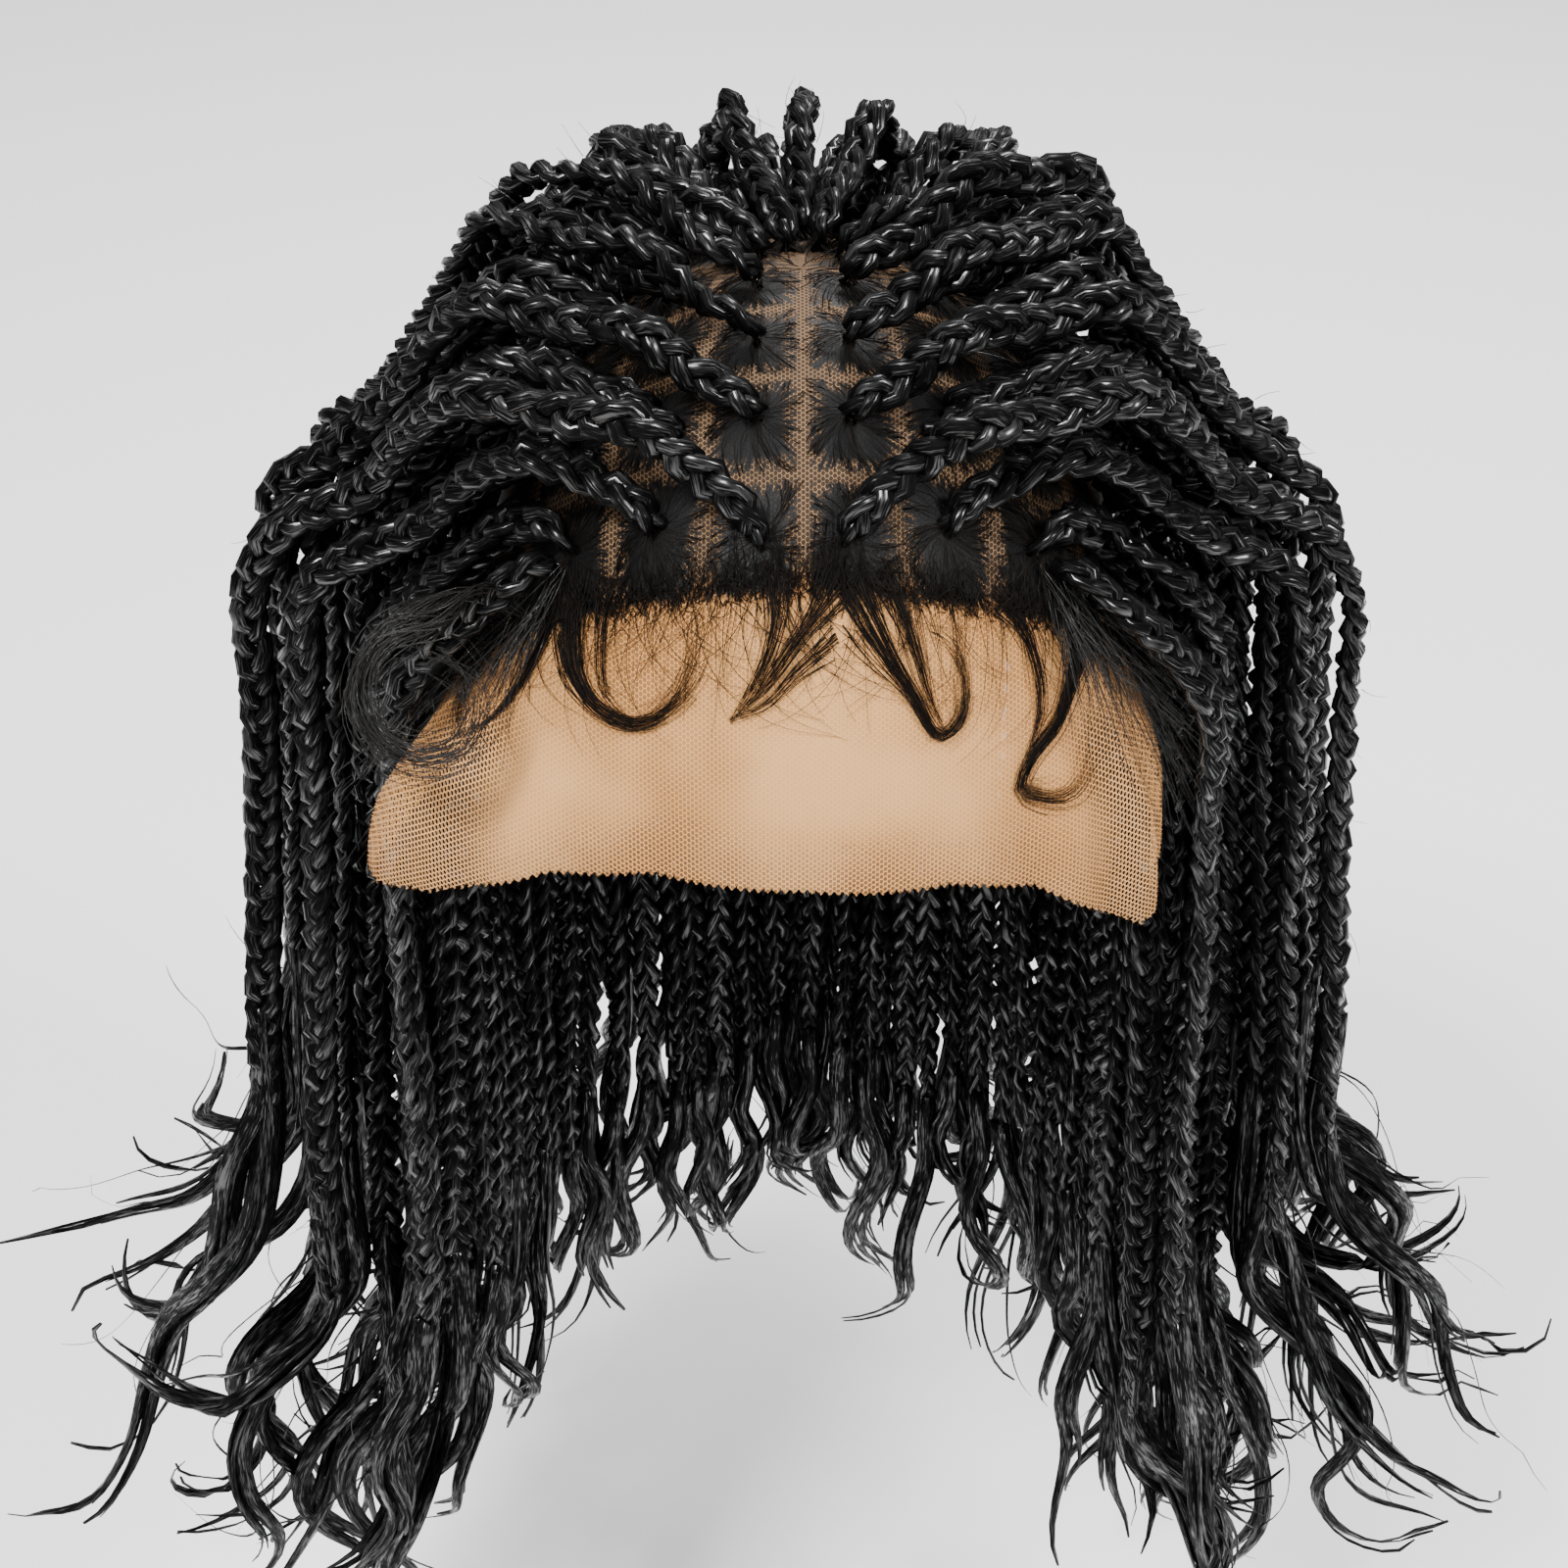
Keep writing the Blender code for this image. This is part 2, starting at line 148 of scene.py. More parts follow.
# The front row's braids leave the middle of their sections, a little nearer the hairline: the
# shift of the root, and the share of it at the first rings
FRONT_ROOT_SHIFT = np.array([0.0, -0.0042, -0.0056])
FRONT_RING_SHARES = np.array([1.0, 0.85, 0.5, 0.15])
braid_lines = {}
for name in sorted(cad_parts):
    if "_braid_" in name:
        line = ring_centres(name)
        if name.endswith("_1"):
            line[:len(FRONT_RING_SHARES)] += FRONT_RING_SHARES[:, None] * FRONT_ROOT_SHIFT
        braid_lines[name] = line
roots = np.array([line[0] for line in braid_lines.values()])


# The hairline. Columns: azimuth from the front in degrees, depth
HAIRLINE = (
    (0, 0.0365), (20, 0.0400), (30, 0.0435), (40, 0.0490), (50, 0.0555), (60, 0.0640),
    (68, 0.0760), (74, 0.0900), (80, 0.1060), (180, 0.2000),
)


def hairline_depth(turn):
    degrees, depths = zip(*HAIRLINE)
    return np.interp(np.abs(turn), degrees, depths)


def section_edges(points):
    """Vector to each point from the middle of its section, and its distance to the part."""
    apart = points[:, None] - section_middles[None]
    distance = np.linalg.norm(apart, axis=2)
    nearest = distance.argmin(axis=1)
    own = section_middles[nearest]
    gap = np.linalg.norm(section_middles[None] - own[:, None], axis=2)
    own_distance = distance[np.arange(len(points)), nearest][:, None]
    to_side = (distance**2 - own_distance**2) / (2 * np.maximum(gap, 1e-6))
    to_side[gap < 1e-6] = 1
    return points - own, to_side.min(axis=1)


# Sections of the cap below the modelled braids, whose braids hang in the under bundles.
# Columns: share of the way down the cap, sections on each side
LOWER_ROWS = ((0.66, 9), (0.84, 8))
NARROWEST_SECTION = 0.019
lower_sections = []
for ring_share, count in LOWER_ROWS:
    for turn in np.linspace(math.radians(78), math.radians(180), count):
        for side in (-1, 1):
            lower_sections.append(cap_surface(np.array(side * turn), np.array(ring_share)))
for turn in np.linspace(math.radians(62), math.radians(180), 9):
    for side in (-1, 1):
        spot = cap_surface(np.array(side * turn), np.array(0.47))
        if np.linalg.norm(roots - spot, axis=1).min() > NARROWEST_SECTION:
            lower_sections.append(spot)
section_middles = np.concatenate([roots, lower_sections])

turns = np.linspace(-math.pi, math.pi, CAP_COLUMNS + 1)[:-1]
shares = np.linspace(0, 1, CAP_ROWS + 1)[1:]
turn_grid, share_grid = np.meshgrid(turns, shares)
outer = cap_surface(turn_grid.ravel(), share_grid.ravel())
top = np.array([[0, 0, DOME_CENTRE_Z + DOME_HEIGHT]])
outer = np.concatenate([top, outer])
inner = outer - dome_normal(outer) * LACE_THICKNESS
walls = np.concatenate([outer, inner])
count = len(outer)
grid = 1 + np.arange(CAP_ROWS * CAP_COLUMNS).reshape(CAP_ROWS, CAP_COLUMNS)
after = np.roll(grid, -1, axis=1)
quads = np.stack([grid[:-1], grid[1:], after[1:], after[:-1]], axis=-1).reshape(-1, 4)
crown = np.stack([np.zeros(CAP_COLUMNS, int), grid[0], after[0]], axis=-1)
rim = np.stack([grid[-1], grid[-1] + count, after[-1] + count, after[-1]], axis=-1)
faces = quads.tolist() + crown.tolist()
faces += (quads[:, ::-1] + count).tolist() + (crown[:, ::-1] + count).tolist() + rim.tolist()
cap_mesh = bpy.data.meshes.new("lace_cap_net")
cap_mesh.from_pydata(walls.tolist(), [], faces)
cap_mesh.update()

# What the net's material reads at each corner: its place in the net's own plane, the vector
# from the middle of its section with the distance to the part, and the loose edge's measures
turn_of = np.concatenate([[0], turn_grid.ravel()])
rings = outer[1:].reshape(CAP_ROWS, CAP_COLUMNS, 3)
rings = np.concatenate([top[None].repeat(CAP_COLUMNS, axis=1), rings])
down = np.linalg.norm(np.diff(rings, axis=0), axis=2).cumsum(axis=0)
down_of = np.concatenate([[0], down.ravel()])
height_above_edge = np.concatenate([[1], (down[-1] - down).ravel()])
across_of = turn_of * np.hypot(outer[:, 0], outer[:, 1])
from_middle, to_part = section_edges(outer)
past_hairline = -outer[:, 2] - hairline_depth(np.degrees(turn_of))
off_skin = smooth_step(np.abs(np.degrees(turn_of)), 41, 54)
off_skin = off_skin * smooth_step(past_hairline, 0.006, 0.022)
veil = 1 - off_skin * smooth_step(-outer[:, 2], 0.062, 0.084)
for label, values in (
    ("net_place", np.stack([across_of, down_of, height_above_edge], axis=1)),
    ("section_place", from_middle),
    ("hair_edge", np.stack([to_part, past_hairline, veil], axis=1)),
):
    layer = cap_mesh.attributes.new(label, "FLOAT_VECTOR", "POINT")
    layer.data.foreach_set("vector", np.concatenate([values, values]).ravel())
cap_mesh.shade_smooth()
lace_cap = bpy.data.objects.new("lace_cap_net", cap_mesh)
bpy.context.scene.collection.objects.link(lace_cap)


class Shader:
    """Short way to add nodes to a material or a node group and join them up."""

    def __init__(self, tree):
        self.tree = tree

    def add(self, kind, *inputs, **settings):
        node = self.tree.nodes.new("ShaderNode" + kind)
        for name, value in settings.items():
            setattr(node, name, value)
        for socket, value in zip(node.inputs, inputs):
            if isinstance(value, bpy.types.NodeSocket):
                self.tree.links.new(value, socket)
            elif value is not None:
                socket.default_value = value
        return node

    def math(self, operation, *inputs):
        return self.add("Math", *inputs, operation=operation).outputs[0]

    def vector(self, operation, *inputs):
        return self.add("VectorMath", *inputs, operation=operation)

    def ramp(self, value, low, high, start=0.0, end=1.0):
        node = self.add("MapRange", value, low, high, start, end, interpolation_type="SMOOTHSTEP")
        return node.outputs[0]

    def mix(self, share, first, second):
        node = self.add("Mix", data_type="RGBA")
        for socket, value in ((0, share), (6, first), (7, second)):
            if isinstance(value, bpy.types.NodeSocket):
                self.tree.links.new(value, node.inputs[socket])
            else:
                node.inputs[socket].default_value = value
        return node.outputs[2]

    def noise(self, place, scale, detail=2.0):
        node = self.add("TexNoise")
        self.tree.links.new(place, node.inputs["Vector"])
        node.inputs["Scale"].default_value = scale
        node.inputs["Detail"].default_value = detail
        return node.outputs[0]

    def bump(self, height, distance, strength):
        node = self.add("Bump")
        node.inputs["Strength"].default_value = strength
        node.inputs["Distance"].default_value = distance
        self.tree.links.new(height, node.inputs["Height"])
        return node.outputs[0]

    def join(self, output, socket):
        self.tree.links.new(output, socket)


def new_material(name):
    material = bpy.data.materials.new(name)
    material.use_nodes = True
    return material, Shader(material.node_tree), material.node_tree.nodes["Principled BSDF"]


# The threads run round hexagonal holes, which lie in two straight grids half a hole apart
lace, net, lace_surface = new_material("skin_tone_lace")
place = net.add("Attribute", attribute_name="net_place").outputs["Vector"]
flat = net.vector("MULTIPLY", place, (1 / NET_PITCH, 1 / NET_PITCH, 0)).outputs[0]
half = (math.sqrt(3) / 2, 0.5, 0)


def from_hole(grid):
    """Vector from the middle of the nearest hole of one of the net's two straight grids."""
    wrapped = net.vector("WRAP", grid, (math.sqrt(3), 1.0, 1.0), (0, 0, -1)).outputs[0]
    return net.vector("SUBTRACT", wrapped, half).outputs[0]


near = from_hole(flat)
other = from_hole(net.vector("ADD", flat, half).outputs[0])


def hexagon_distance(corner):
    sizes = net.add("SeparateXYZ", net.vector("ABSOLUTE", corner).outputs[0])
    half_down = net.math("MULTIPLY", sizes.outputs[1], 0.5)
    slanted = net.math("MULTIPLY_ADD", sizes.outputs[0], math.sqrt(3) / 2, half_down)
    return net.math("MAXIMUM", sizes.outputs[1], slanted)


cell = net.math("MINIMUM", hexagon_distance(near), hexagon_distance(other))
thread = net.ramp(cell, 0.395, 0.450)
# Behind the hairline combed hair covers each section up to its ragged edge at the part
edges = net.add("SeparateXYZ", net.add("Attribute", attribute_name="hair_edge").outputs["Vector"])
section = net.add("Attribute", attribute_name="section_place").outputs["Vector"]
reach = net.vector("LENGTH", section).outputs["Value"]
direction = net.vector("NORMALIZE", section).outputs[0]
spokes = net.noise(direction, 17.0, 3.0)
clumps = net.noise(section, 260.0, 2.0)
ragged = net.math("MULTIPLY_ADD", spokes, 0.0052, -0.0026)
frayed = net.math("ADD", edges.outputs[0], ragged)
in_section = net.ramp(frayed, 0.0004, 0.0016)
behind_line = net.ramp(net.math("ADD", edges.outputs[1], ragged), 0.0010, -0.0008)
hair_over = net.math("MULTIPLY", in_section, behind_line)
tuft = net.ramp(net.math("ADD", spokes, net.math("MULTIPLY", clumps, 0.35)), 0.66, 0.74)
thin_at_edge = net.ramp(edges.outputs[0], 0.0050, 0.0024)
see_lace = net.math("MULTIPLY", tuft, thin_at_edge)
hair_over = net.math("MULTIPLY", hair_over, net.math("SUBTRACT", 1.0, see_lace))
# Tones: the bare net in front, the parts behind the hairline in painted shade, and the hair drawn
# in over both
weave_tone = net.mix(thread, LACE_HOLE_COLOUR, LACE_COLOUR)
blotches = net.noise(net.add("TexCoord").outputs["Object"], 22.0, 3.0)
bare_tone = net.mix(net.ramp(blotches, 0.35, 0.7), weave_tone, LACE_PALE_COLOUR)
# Painted shade at the parts: darker threads, and holes near black for the shade inside the wig and
# the hair under it
shaded_part_tone = net.mix(thread, PART_HOLE_SHADE_COLOUR, PART_THREAD_SHADED_COLOUR)
behind = net.ramp(edges.outputs[1], 0.0015, -0.0040)
lace_tone = net.mix(behind, bare_tone, shaded_part_tone)
combed = net.ramp(net.noise(direction, 34.0, 2.0), 0.52, 0.64)
knotted = net.mix(combed, KNOT_BLACK, KNOT_LIGHT)
net.join(net.mix(hair_over, lace_tone, knotted), lace_surface.inputs["Base Color"])
net.join(net.ramp(hair_over, 0, 1, 0.75, 0.55), lace_surface.inputs["Roughness"])
# The front edge is cut in teeth, and the holes open towards it and towards the flaps
across_down_up = net.add("SeparateXYZ", place)
teeth = net.math("PINGPONG", across_down_up.outputs[0], TOOTH_WIDTH)
above_edge = net.math("SUBTRACT", across_down_up.outputs[2], teeth)
not_cut = net.ramp(above_edge, 0.0, 0.0002)
in_hole = net.ramp(edges.outputs[2], 0.0, 1.0, 0.0, 0.70)
sheer_edge = net.ramp(above_edge, 0.0020, 0.0200, 0.45, 1.0)
in_hole = net.math("MULTIPLY", in_hole, sheer_edge)
# Behind the hairline the holes are filled, so that their painted shade shows in place of the open
# net
filled = net.ramp(edges.outputs[1], 0.004, -0.004)
hole = net.math("MAXIMUM", in_hole, filled)
cover = net.math("MAXIMUM", thread, hole)
net.join(net.math("MULTIPLY", cover, not_cut), lace_surface.inputs["Alpha"])
net.join(net.bump(thread, 0.0002, 0.5), lace_surface.inputs["Normal"])
lace_surface.inputs["Specular IOR Level"].default_value = 0.18
lace_cap.data.materials.append(lace)
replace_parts(lace_cap, "lace_cap")
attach(lace_cap, "root")

# ---------------------------------------------------------------- braids
# Each braid is a three-strand plait of synthetic hair, rooted in its own section of the cap.
# It is plaited down to a little below the shoulder and left loose there, where the hair has
# been set in waves and curls. Short hairs work loose all along it.
BRAID_WIDTH = 0.0102
PLAIT_PERIOD = 0.021
PLAIT_RINGS = 15
STRAND_STEP = 0.0026
STRAND_SIDES = 7
STRAND_ROUGH = 0.0004
LOOSE_STEP = 0.0052
WISP_SIZE = 0.0034
WISP_SPREAD = 0.0029
STRAY_SIZE = 0.0009
STRAY_SPREAD = 0.006
STRAY_STEP = 0.0038
SHORT_HAIRS = 20
SHORT_HAIR_LENGTH = 0.009
# Half thickness of a short hair at its root and at its tip
SHORT_HAIR_TAPER = (0.00011, 0.00005)
HAIR_RINGS = 5
# Shares of a braid's width: how far a strand weaves to the side and outwards, and its half size
WEAVE_ASIDE = 0.285
WEAVE_DEPTH = 0.165
STRAND_WIDE = 0.215
STRAND_THICK = 0.165
HAIR_BLACK = (0.0004, 0.0004, 0.00045, 1)
# Base colour of the fibres that shine: a painted highlight
HAIR_PAINTED_HIGHLIGHT = (0.0042, 0.0041, 0.0042, 1)
chance = np.random.default_rng(20)


def lengths_along(points):
    return np.concatenate([[0], np.cumsum(np.linalg.norm(np.diff(points, axis=0), axis=1))])


def smooth_path(points, step):
    """Even points along a smooth curve through the given ones."""
    along = lengths_along(points)
    slopes = np.gradient(points, along, axis=0)
    count = max(4, int(along[-1] / step) + 1)
    at = np.linspace(0, along[-1], count)
    piece = np.clip(np.searchsorted(along, at, side="right") - 1, 0, len(points) - 2)
    length = (along[piece + 1] - along[piece])[:, None]
    share = (at[:, None] - along[piece][:, None]) / length
    square, cube = share**2, share**3
    return (
        (2 * cube - 3 * square + 1) * points[piece]
        + (cube - 2 * square + share) * length * slopes[piece]
        + (3 * square - 2 * cube) * points[piece + 1]
        + (cube - square) * length * slopes[piece + 1]
    )


def side_frames(points, outwards):
    """Direction along a line at each point, its outward side, and its other side."""
    along = np.gradient(points, axis=0)
    along /= np.maximum(np.linalg.norm(along, axis=1), 1e-9)[:, None]
    out = outwards - (outwards * along).sum(axis=1)[:, None] * along
    out /= np.maximum(np.linalg.norm(out, axis=1), 1e-9)[:, None]
    return along, out, np.cross(along, out)


def hair_tube(points, outwards, wide, thick, sides=6):
    """One strand or wisp: its rings of corners, their faces, and their places along the hair."""
    _, out, across = side_frames(points, outwards)
    angle = np.linspace(0, 2 * math.pi, sides, endpoint=False)
    rings = (
        points[:, None] + (thick[:, None] * np.cos(angle))[..., None] * out[:, None]
        + (wide[:, None] * np.sin(angle))[..., None] * across[:, None]
    )
    count = len(points)
    index = np.arange(count * sides).reshape(count, sides)
    after = np.roll(index, -1, axis=1)
    quads = np.stack([index[:-1], after[:-1], after[1:], index[1:]], axis=-1).reshape(-1, 4)
    down = lengths_along(points) * 1000 + chance.uniform(0, 4000)
    girth = float(wide.max() + thick.max()) * math.pi * 1000
    here, there = girth * np.arange(sides) / sides, girth * np.arange(1, sides + 1) / sides
    spot = np.zeros((count - 1, sides, 4, 2))
    spot[..., 0] = np.stack([here, there, there, here], axis=-1)[None]
    spot[..., 1] = np.stack([down[:-1], down[:-1], down[1:], down[1:]], axis=-1)[:, None]
    ends = [index[0, ::-1].tolist(), index[-1].tolist()]
    end_spots = np.concatenate([np.full((sides, 2), down[0]), np.full((sides, 2), down[-1])])
    return rings.reshape(-1, 3), quads, spot.reshape(-1, 2), ends, end_spots


def hair_object(name, tubes, material):
    """One mesh of many strands, with the place along each hair as its UV map."""
    corners, faces, spots, ends, end_spots = [], [], [], [], []
    total = 0
    for ring, quads, spot, end, end_spot in tubes:
        corners.append(ring)
        faces.append(quads + total)
        spots.append(spot)
        ends += [[corner + total for corner in face] for face in end]
        end_spots.append(end_spot)
        total += len(ring)
    mesh = bpy.data.meshes.new(name)
    mesh.from_pydata(np.concatenate(corners).tolist(), [], np.concatenate(faces).tolist() + ends)
    layer = mesh.uv_layers.new(name="along_hair")
    layer.data.foreach_set("uv", np.concatenate(spots + end_spots).ravel())
    mesh.shade_smooth()
    mesh.materials.append(material)
    thing = bpy.data.objects.new(name, mesh)
    bpy.context.scene.collection.objects.link(thing)
    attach(thing, "root")
    return thing


def plait(path, width, turn_at_root, turn_rate, sides):
    """The three strands of a plait along a path, each weaving over and under the others."""
    _, out, across = side_frames(path, dome_normal(path))
    length = lengths_along(path)
    turn = turn_at_root + turn_rate * length + 0.35 * np.sin(length / 0.037 + turn_at_root * 3)
    face = np.cos(turn)[:, None] * out + np.sin(turn)[:, None] * across
    edge = -np.sin(turn)[:, None] * out + np.cos(turn)[:, None] * across
    strands = []
    start = chance.uniform(0, 2 * math.pi)
    wobble = np.cumsum(chance.normal(0, 0.05, len(path)))
    for strand in range(3):
        phase = 2 * math.pi * (length / PLAIT_PERIOD + strand / 3) + start + wobble
        middle = (
            path + edge * (np.sin(phase) * WEAVE_ASIDE * width)[:, None]
            - face * (np.sin(2 * phase) * WEAVE_DEPTH * width)[:, None]
        )
        middle += chance.normal(0, STRAND_ROUGH, 3) * np.sin(length / 0.011 + strand)[:, None]
        bulge = width * (0.90 + 0.16 * np.abs(np.sin(2 * phase)) + chance.normal(0, 0.03))
        strands.append(hair_tube(middle, face, STRAND_WIDE * bulge, STRAND_THICK * bulge, sides))
    return strands


def curled(path, turn, start, aslant):
    """A loose end's path waved and rolled outwards at its tip, keeping its length."""
    steps = np.diff(path, axis=0)
    size = np.linalg.norm(steps, axis=1)[:, None]
    along, out, across = side_frames(path, dome_normal(path))
    along, out, across = along[:-1], out[:-1], across[:-1]
    length = lengths_along(path)
    share = length[:-1] / length[-1]
    roll = turn * smooth_step(share, start, 1.15) * 1.15
    wave = 0.42 * np.sin(share * chance.uniform(11, 15) + chance.uniform(0, 6))
    wave = wave * smooth_step(share, 0, 0.25)
    aside = out * math.cos(aslant) + across * math.sin(aslant)
    other = across * math.cos(aslant) - out * math.sin(aslant)
    heading = along * np.cos(roll)[:, None] + aside * np.sin(roll)[:, None] + other * wave[:, None]
    heading /= np.linalg.norm(heading, axis=1)[:, None]
    return np.concatenate([path[:1], path[0] + np.cumsum(heading * size, axis=0)])


def loose_wisps(path, count, spread, thick, sides=4):
    """Wisps of a loose end: they lie side by side, wave together and part at their tips."""
    _, out, across = side_frames(path, dome_normal(path))
    length = lengths_along(path)
    share = length / length[-1]
    wisps = []
    for wisp in range(count):
        round_it = 2 * math.pi * wisp / count + chance.uniform(-0.5, 0.5)
        swing = round_it + chance.uniform(-1, 1) * 3.0 * share
        away = spread * (0.30 + share**1.1 * chance.uniform(0.3, 1.2))
        aside = out * np.cos(swing)[:, None] + across * np.sin(swing)[:, None]
        keep = max(6, int(len(path) * chance.uniform(0.70, 1.0)))
        middle = (path + aside * away[:, None])[:keep]
        taper = np.linspace(0, 1, keep)
        wide = thick * (1 - 0.88 * taper**2.2) * chance.uniform(0.7, 1.2)
        face = out[:keep] * math.cos(round_it) + across[:keep] * math.sin(round_it)
        wisps.append(hair_tube(middle, face, wide, wide * 0.36, sides))
    return wisps


def loose_end(path, locks):
    """The loose end of one braid: a long lock, and shorter ones rolled their own ways."""
    wisps = []
    for lock in range(locks):
        least, most = (1.4, 4.8) if lock else (0.3, 1.3)
        turn, keep = chance.uniform(least, most), len(path)
        if lock:
            keep = max(8, int(keep * chance.uniform(0.75, 0.95)))
        aslant = chance.normal(0, 0.8)
        rolled = curled(path[:keep], turn, chance.uniform(0.35, 0.6), aslant)
        wisps += loose_wisps(rolled, 4, WISP_SPREAD, WISP_SIZE)
        stray = smooth_path(curled(path[:keep], min(turn, 2.0), 0.3, aslant + 0.6), STRAY_STEP)
        wisps += loose_wisps(stray, 1, STRAY_SPREAD, STRAY_SIZE, 3)
    return wisps


def short_hairs(path, width, count, longest):
    """Fine hairs that have worked loose and stand off a braid."""
    along, out, across = side_frames(path, dome_normal(path))
    hairs = []
    for _ in range(count):
        at = int(chance.integers(2, len(path) - 2))
        round_it = chance.uniform(-2.2, 2.2)
        aside = out[at] * math.cos(round_it) + across[at] * math.sin(round_it)
        lean = chance.uniform(0.25, 0.8)
        heading = along[at] * math.cos(lean) + aside * math.sin(lean)
        length = longest * chance.uniform(0.35, 1.0)
        share = np.linspace(0, 1, HAIR_RINGS)[:, None]
        bend = chance.normal(0, 0.35, 3)
        middle = path[at] + aside * width * 0.38 + (heading + bend * share) * share * length
        size = np.linspace(*SHORT_HAIR_TAPER, HAIR_RINGS)
        hairs.append(hair_tube(middle, np.tile(aside, (HAIR_RINGS, 1)), size, size, 3))
    return hairs


# Fine parallel fibres gathered in locks, from the place along a hair in millimetres
# Its Lit output marks the fibres that shine: the materials give them gloss there, and paint their
# base colour lighter as a painted highlight
drawn_fibres = bpy.data.node_groups.new("drawn_fibres", "ShaderNodeTree")
for socket, kind in (
    ("Along Hair", "NodeSocketVector"), ("Fibre Grain", "NodeSocketVector"),
    ("Lock Grain", "NodeSocketVector"), ("Dull Below", "NodeSocketFloat"),
    ("Lit Above", "NodeSocketFloat"),
):
    drawn_fibres.interface.new_socket(name=socket, in_out="INPUT", socket_type=kind)
for socket in ("Fibres", "Lit"):
    drawn_fibres.interface.new_socket(name=socket, in_out="OUTPUT", socket_type="NodeSocketFloat")
drawing = Shader(drawn_fibres)
given = drawn_fibres.nodes.new("NodeGroupInput").outputs
result = drawn_fibres.nodes.new("NodeGroupOutput").inputs
fine = drawing.vector("MULTIPLY", given["Along Hair"], given["Fibre Grain"]).outputs[0]
coarse = drawing.vector("MULTIPLY", given["Along Hair"], given["Lock Grain"]).outputs[0]
fibres = drawing.noise(fine, 1.0, 3.0)
locks = drawing.math("MULTIPLY", drawing.noise(coarse, 1.0, 2.0), 0.45)
both = drawing.math("MULTIPLY_ADD", fibres, 0.75, locks)
drawing.join(fibres, result["Fibres"])
drawing.join(drawing.ramp(both, given["Dull Below"], given["Lit Above"]), result["Lit"])


def fibres_along(shader, fibre_grain, lock_grain, dull_below, lit_above):
    """The drawn fibres in a material, with its own grain: their height, and where they shine, for
    gloss and a painted highlight.
    """
    along_hair = shader.add("UVMap", uv_map="along_hair").outputs[0]
    node = shader.add(
        "Group", along_hair, fibre_grain, lock_grain, dull_below, lit_above, node_tree=drawn_fibres,
    )
    return node.outputs["Fibres"], node.outputs["Lit"]


hair, strands, hair_surface = new_material("black_synthetic_hair")
fibres, lit = fibres_along(strands, (2.5, 0.22, 0.0), (0.35, 0.07, 0.0), 0.590, 0.70)
# Painted highlight: the base colour is lighter on the fibres that shine, which also get a real coat
# and lower roughness
strands.join(strands.mix(lit, HAIR_BLACK, HAIR_PAINTED_HIGHLIGHT), hair_surface.inputs["Base Color"])
strands.join(strands.ramp(lit, 0, 1, 0.50, 0.22), hair_surface.inputs["Roughness"])
strands.join(lit, hair_surface.inputs["Coat Weight"])
strands.join(strands.bump(fibres, 0.00045, 1.0), hair_surface.inputs["Normal"])
hair_surface.inputs["Specular IOR Level"].default_value = 0.055
hair_surface.inputs["Coat Roughness"].default_value = 0.28
hair_surface.inputs["Coat IOR"].default_value = 1.6

for name, line in braid_lines.items():
    plait_line = smooth_path(line[:PLAIT_RINGS], STRAND_STEP)
    loose_line = smooth_path(line[PLAIT_RINGS - 2:], LOOSE_STEP)
    near_root = np.interp(lengths_along(plait_line), (0, 0.004, 0.014), (0.45, 0.75, 1.0))
    to_end = lengths_along(plait_line)[-1] - lengths_along(plait_line)
    width = BRAID_WIDTH * near_root * np.interp(to_end, (0, 0.03), (0.80, 1.0))
    sides = STRAND_SIDES - 1 if name.startswith("low") else STRAND_SIDES
    tubes = plait(plait_line, width, chance.uniform(-0.7, 0.7), chance.normal(0, 5), sides)
    tubes += loose_end(loose_line, 2)
    tubes += short_hairs(plait_line, BRAID_WIDTH, SHORT_HAIRS, SHORT_HAIR_LENGTH)
    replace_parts(hair_object(name + "_plait", tubes, hair), name)

# ---------------------------------------------------------------- braids in between
# More of the same braids, from sections whose roots are covered, lie in the grooves between
# those above. They rise from the cap under the rows in front and follow them down.
FILL_WIDTH = 0.0088
FILL_STEP = 0.0030
FILL_LOOSE_STEP = 0.006
FILL_START = 4
FILL_LOOSE_RINGS = 9
FILL_DEEPER = {"top": 0.0055, "upper": 0.0050, "low": 0.0030}


def groove_line(first, second, deeper):
    """The line midway between two braids and nearer the head, rising from the cap's face."""
    line = (braid_lines[first] + braid_lines[second]) / 2
    line = line - dome_normal(line) * deeper
    start = line[FILL_START]
    above = max(0.0, float(above_dome(start[None])[0]) * 0.09)
    start = start - dome_normal(start[None])[0] * above
    return np.concatenate([[start], line[FILL_START + 2:]])


for layer_name, deeper in FILL_DEEPER.items():
    for side in ("left", "right"):
        tubes = []
        names = [f"{layer_name}_braid_{side}_{lane}" for lane in range(1, 8)]
        if layer_name == "top":
            names.append("top_braid_middle")
        for first, second in zip(names, names[1:]):
            line = groove_line(first, second, deeper)
            last_ring = len(line) - FILL_LOOSE_RINGS
            plait_line = smooth_path(line[:last_ring], FILL_STEP)
            loose_line = smooth_path(line[last_ring - 1:], FILL_LOOSE_STEP)
            width = FILL_WIDTH * np.interp(lengths_along(plait_line), (0, 0.01), (0.6, 1.0))
            tubes += plait(plait_line, width, chance.uniform(-1.2, 1.2), chance.normal(0, 6), 6)
            tubes += loose_end(loose_line, 1)
        hair_object(f"between_braids_{layer_name}_{side}", tubes, hair)

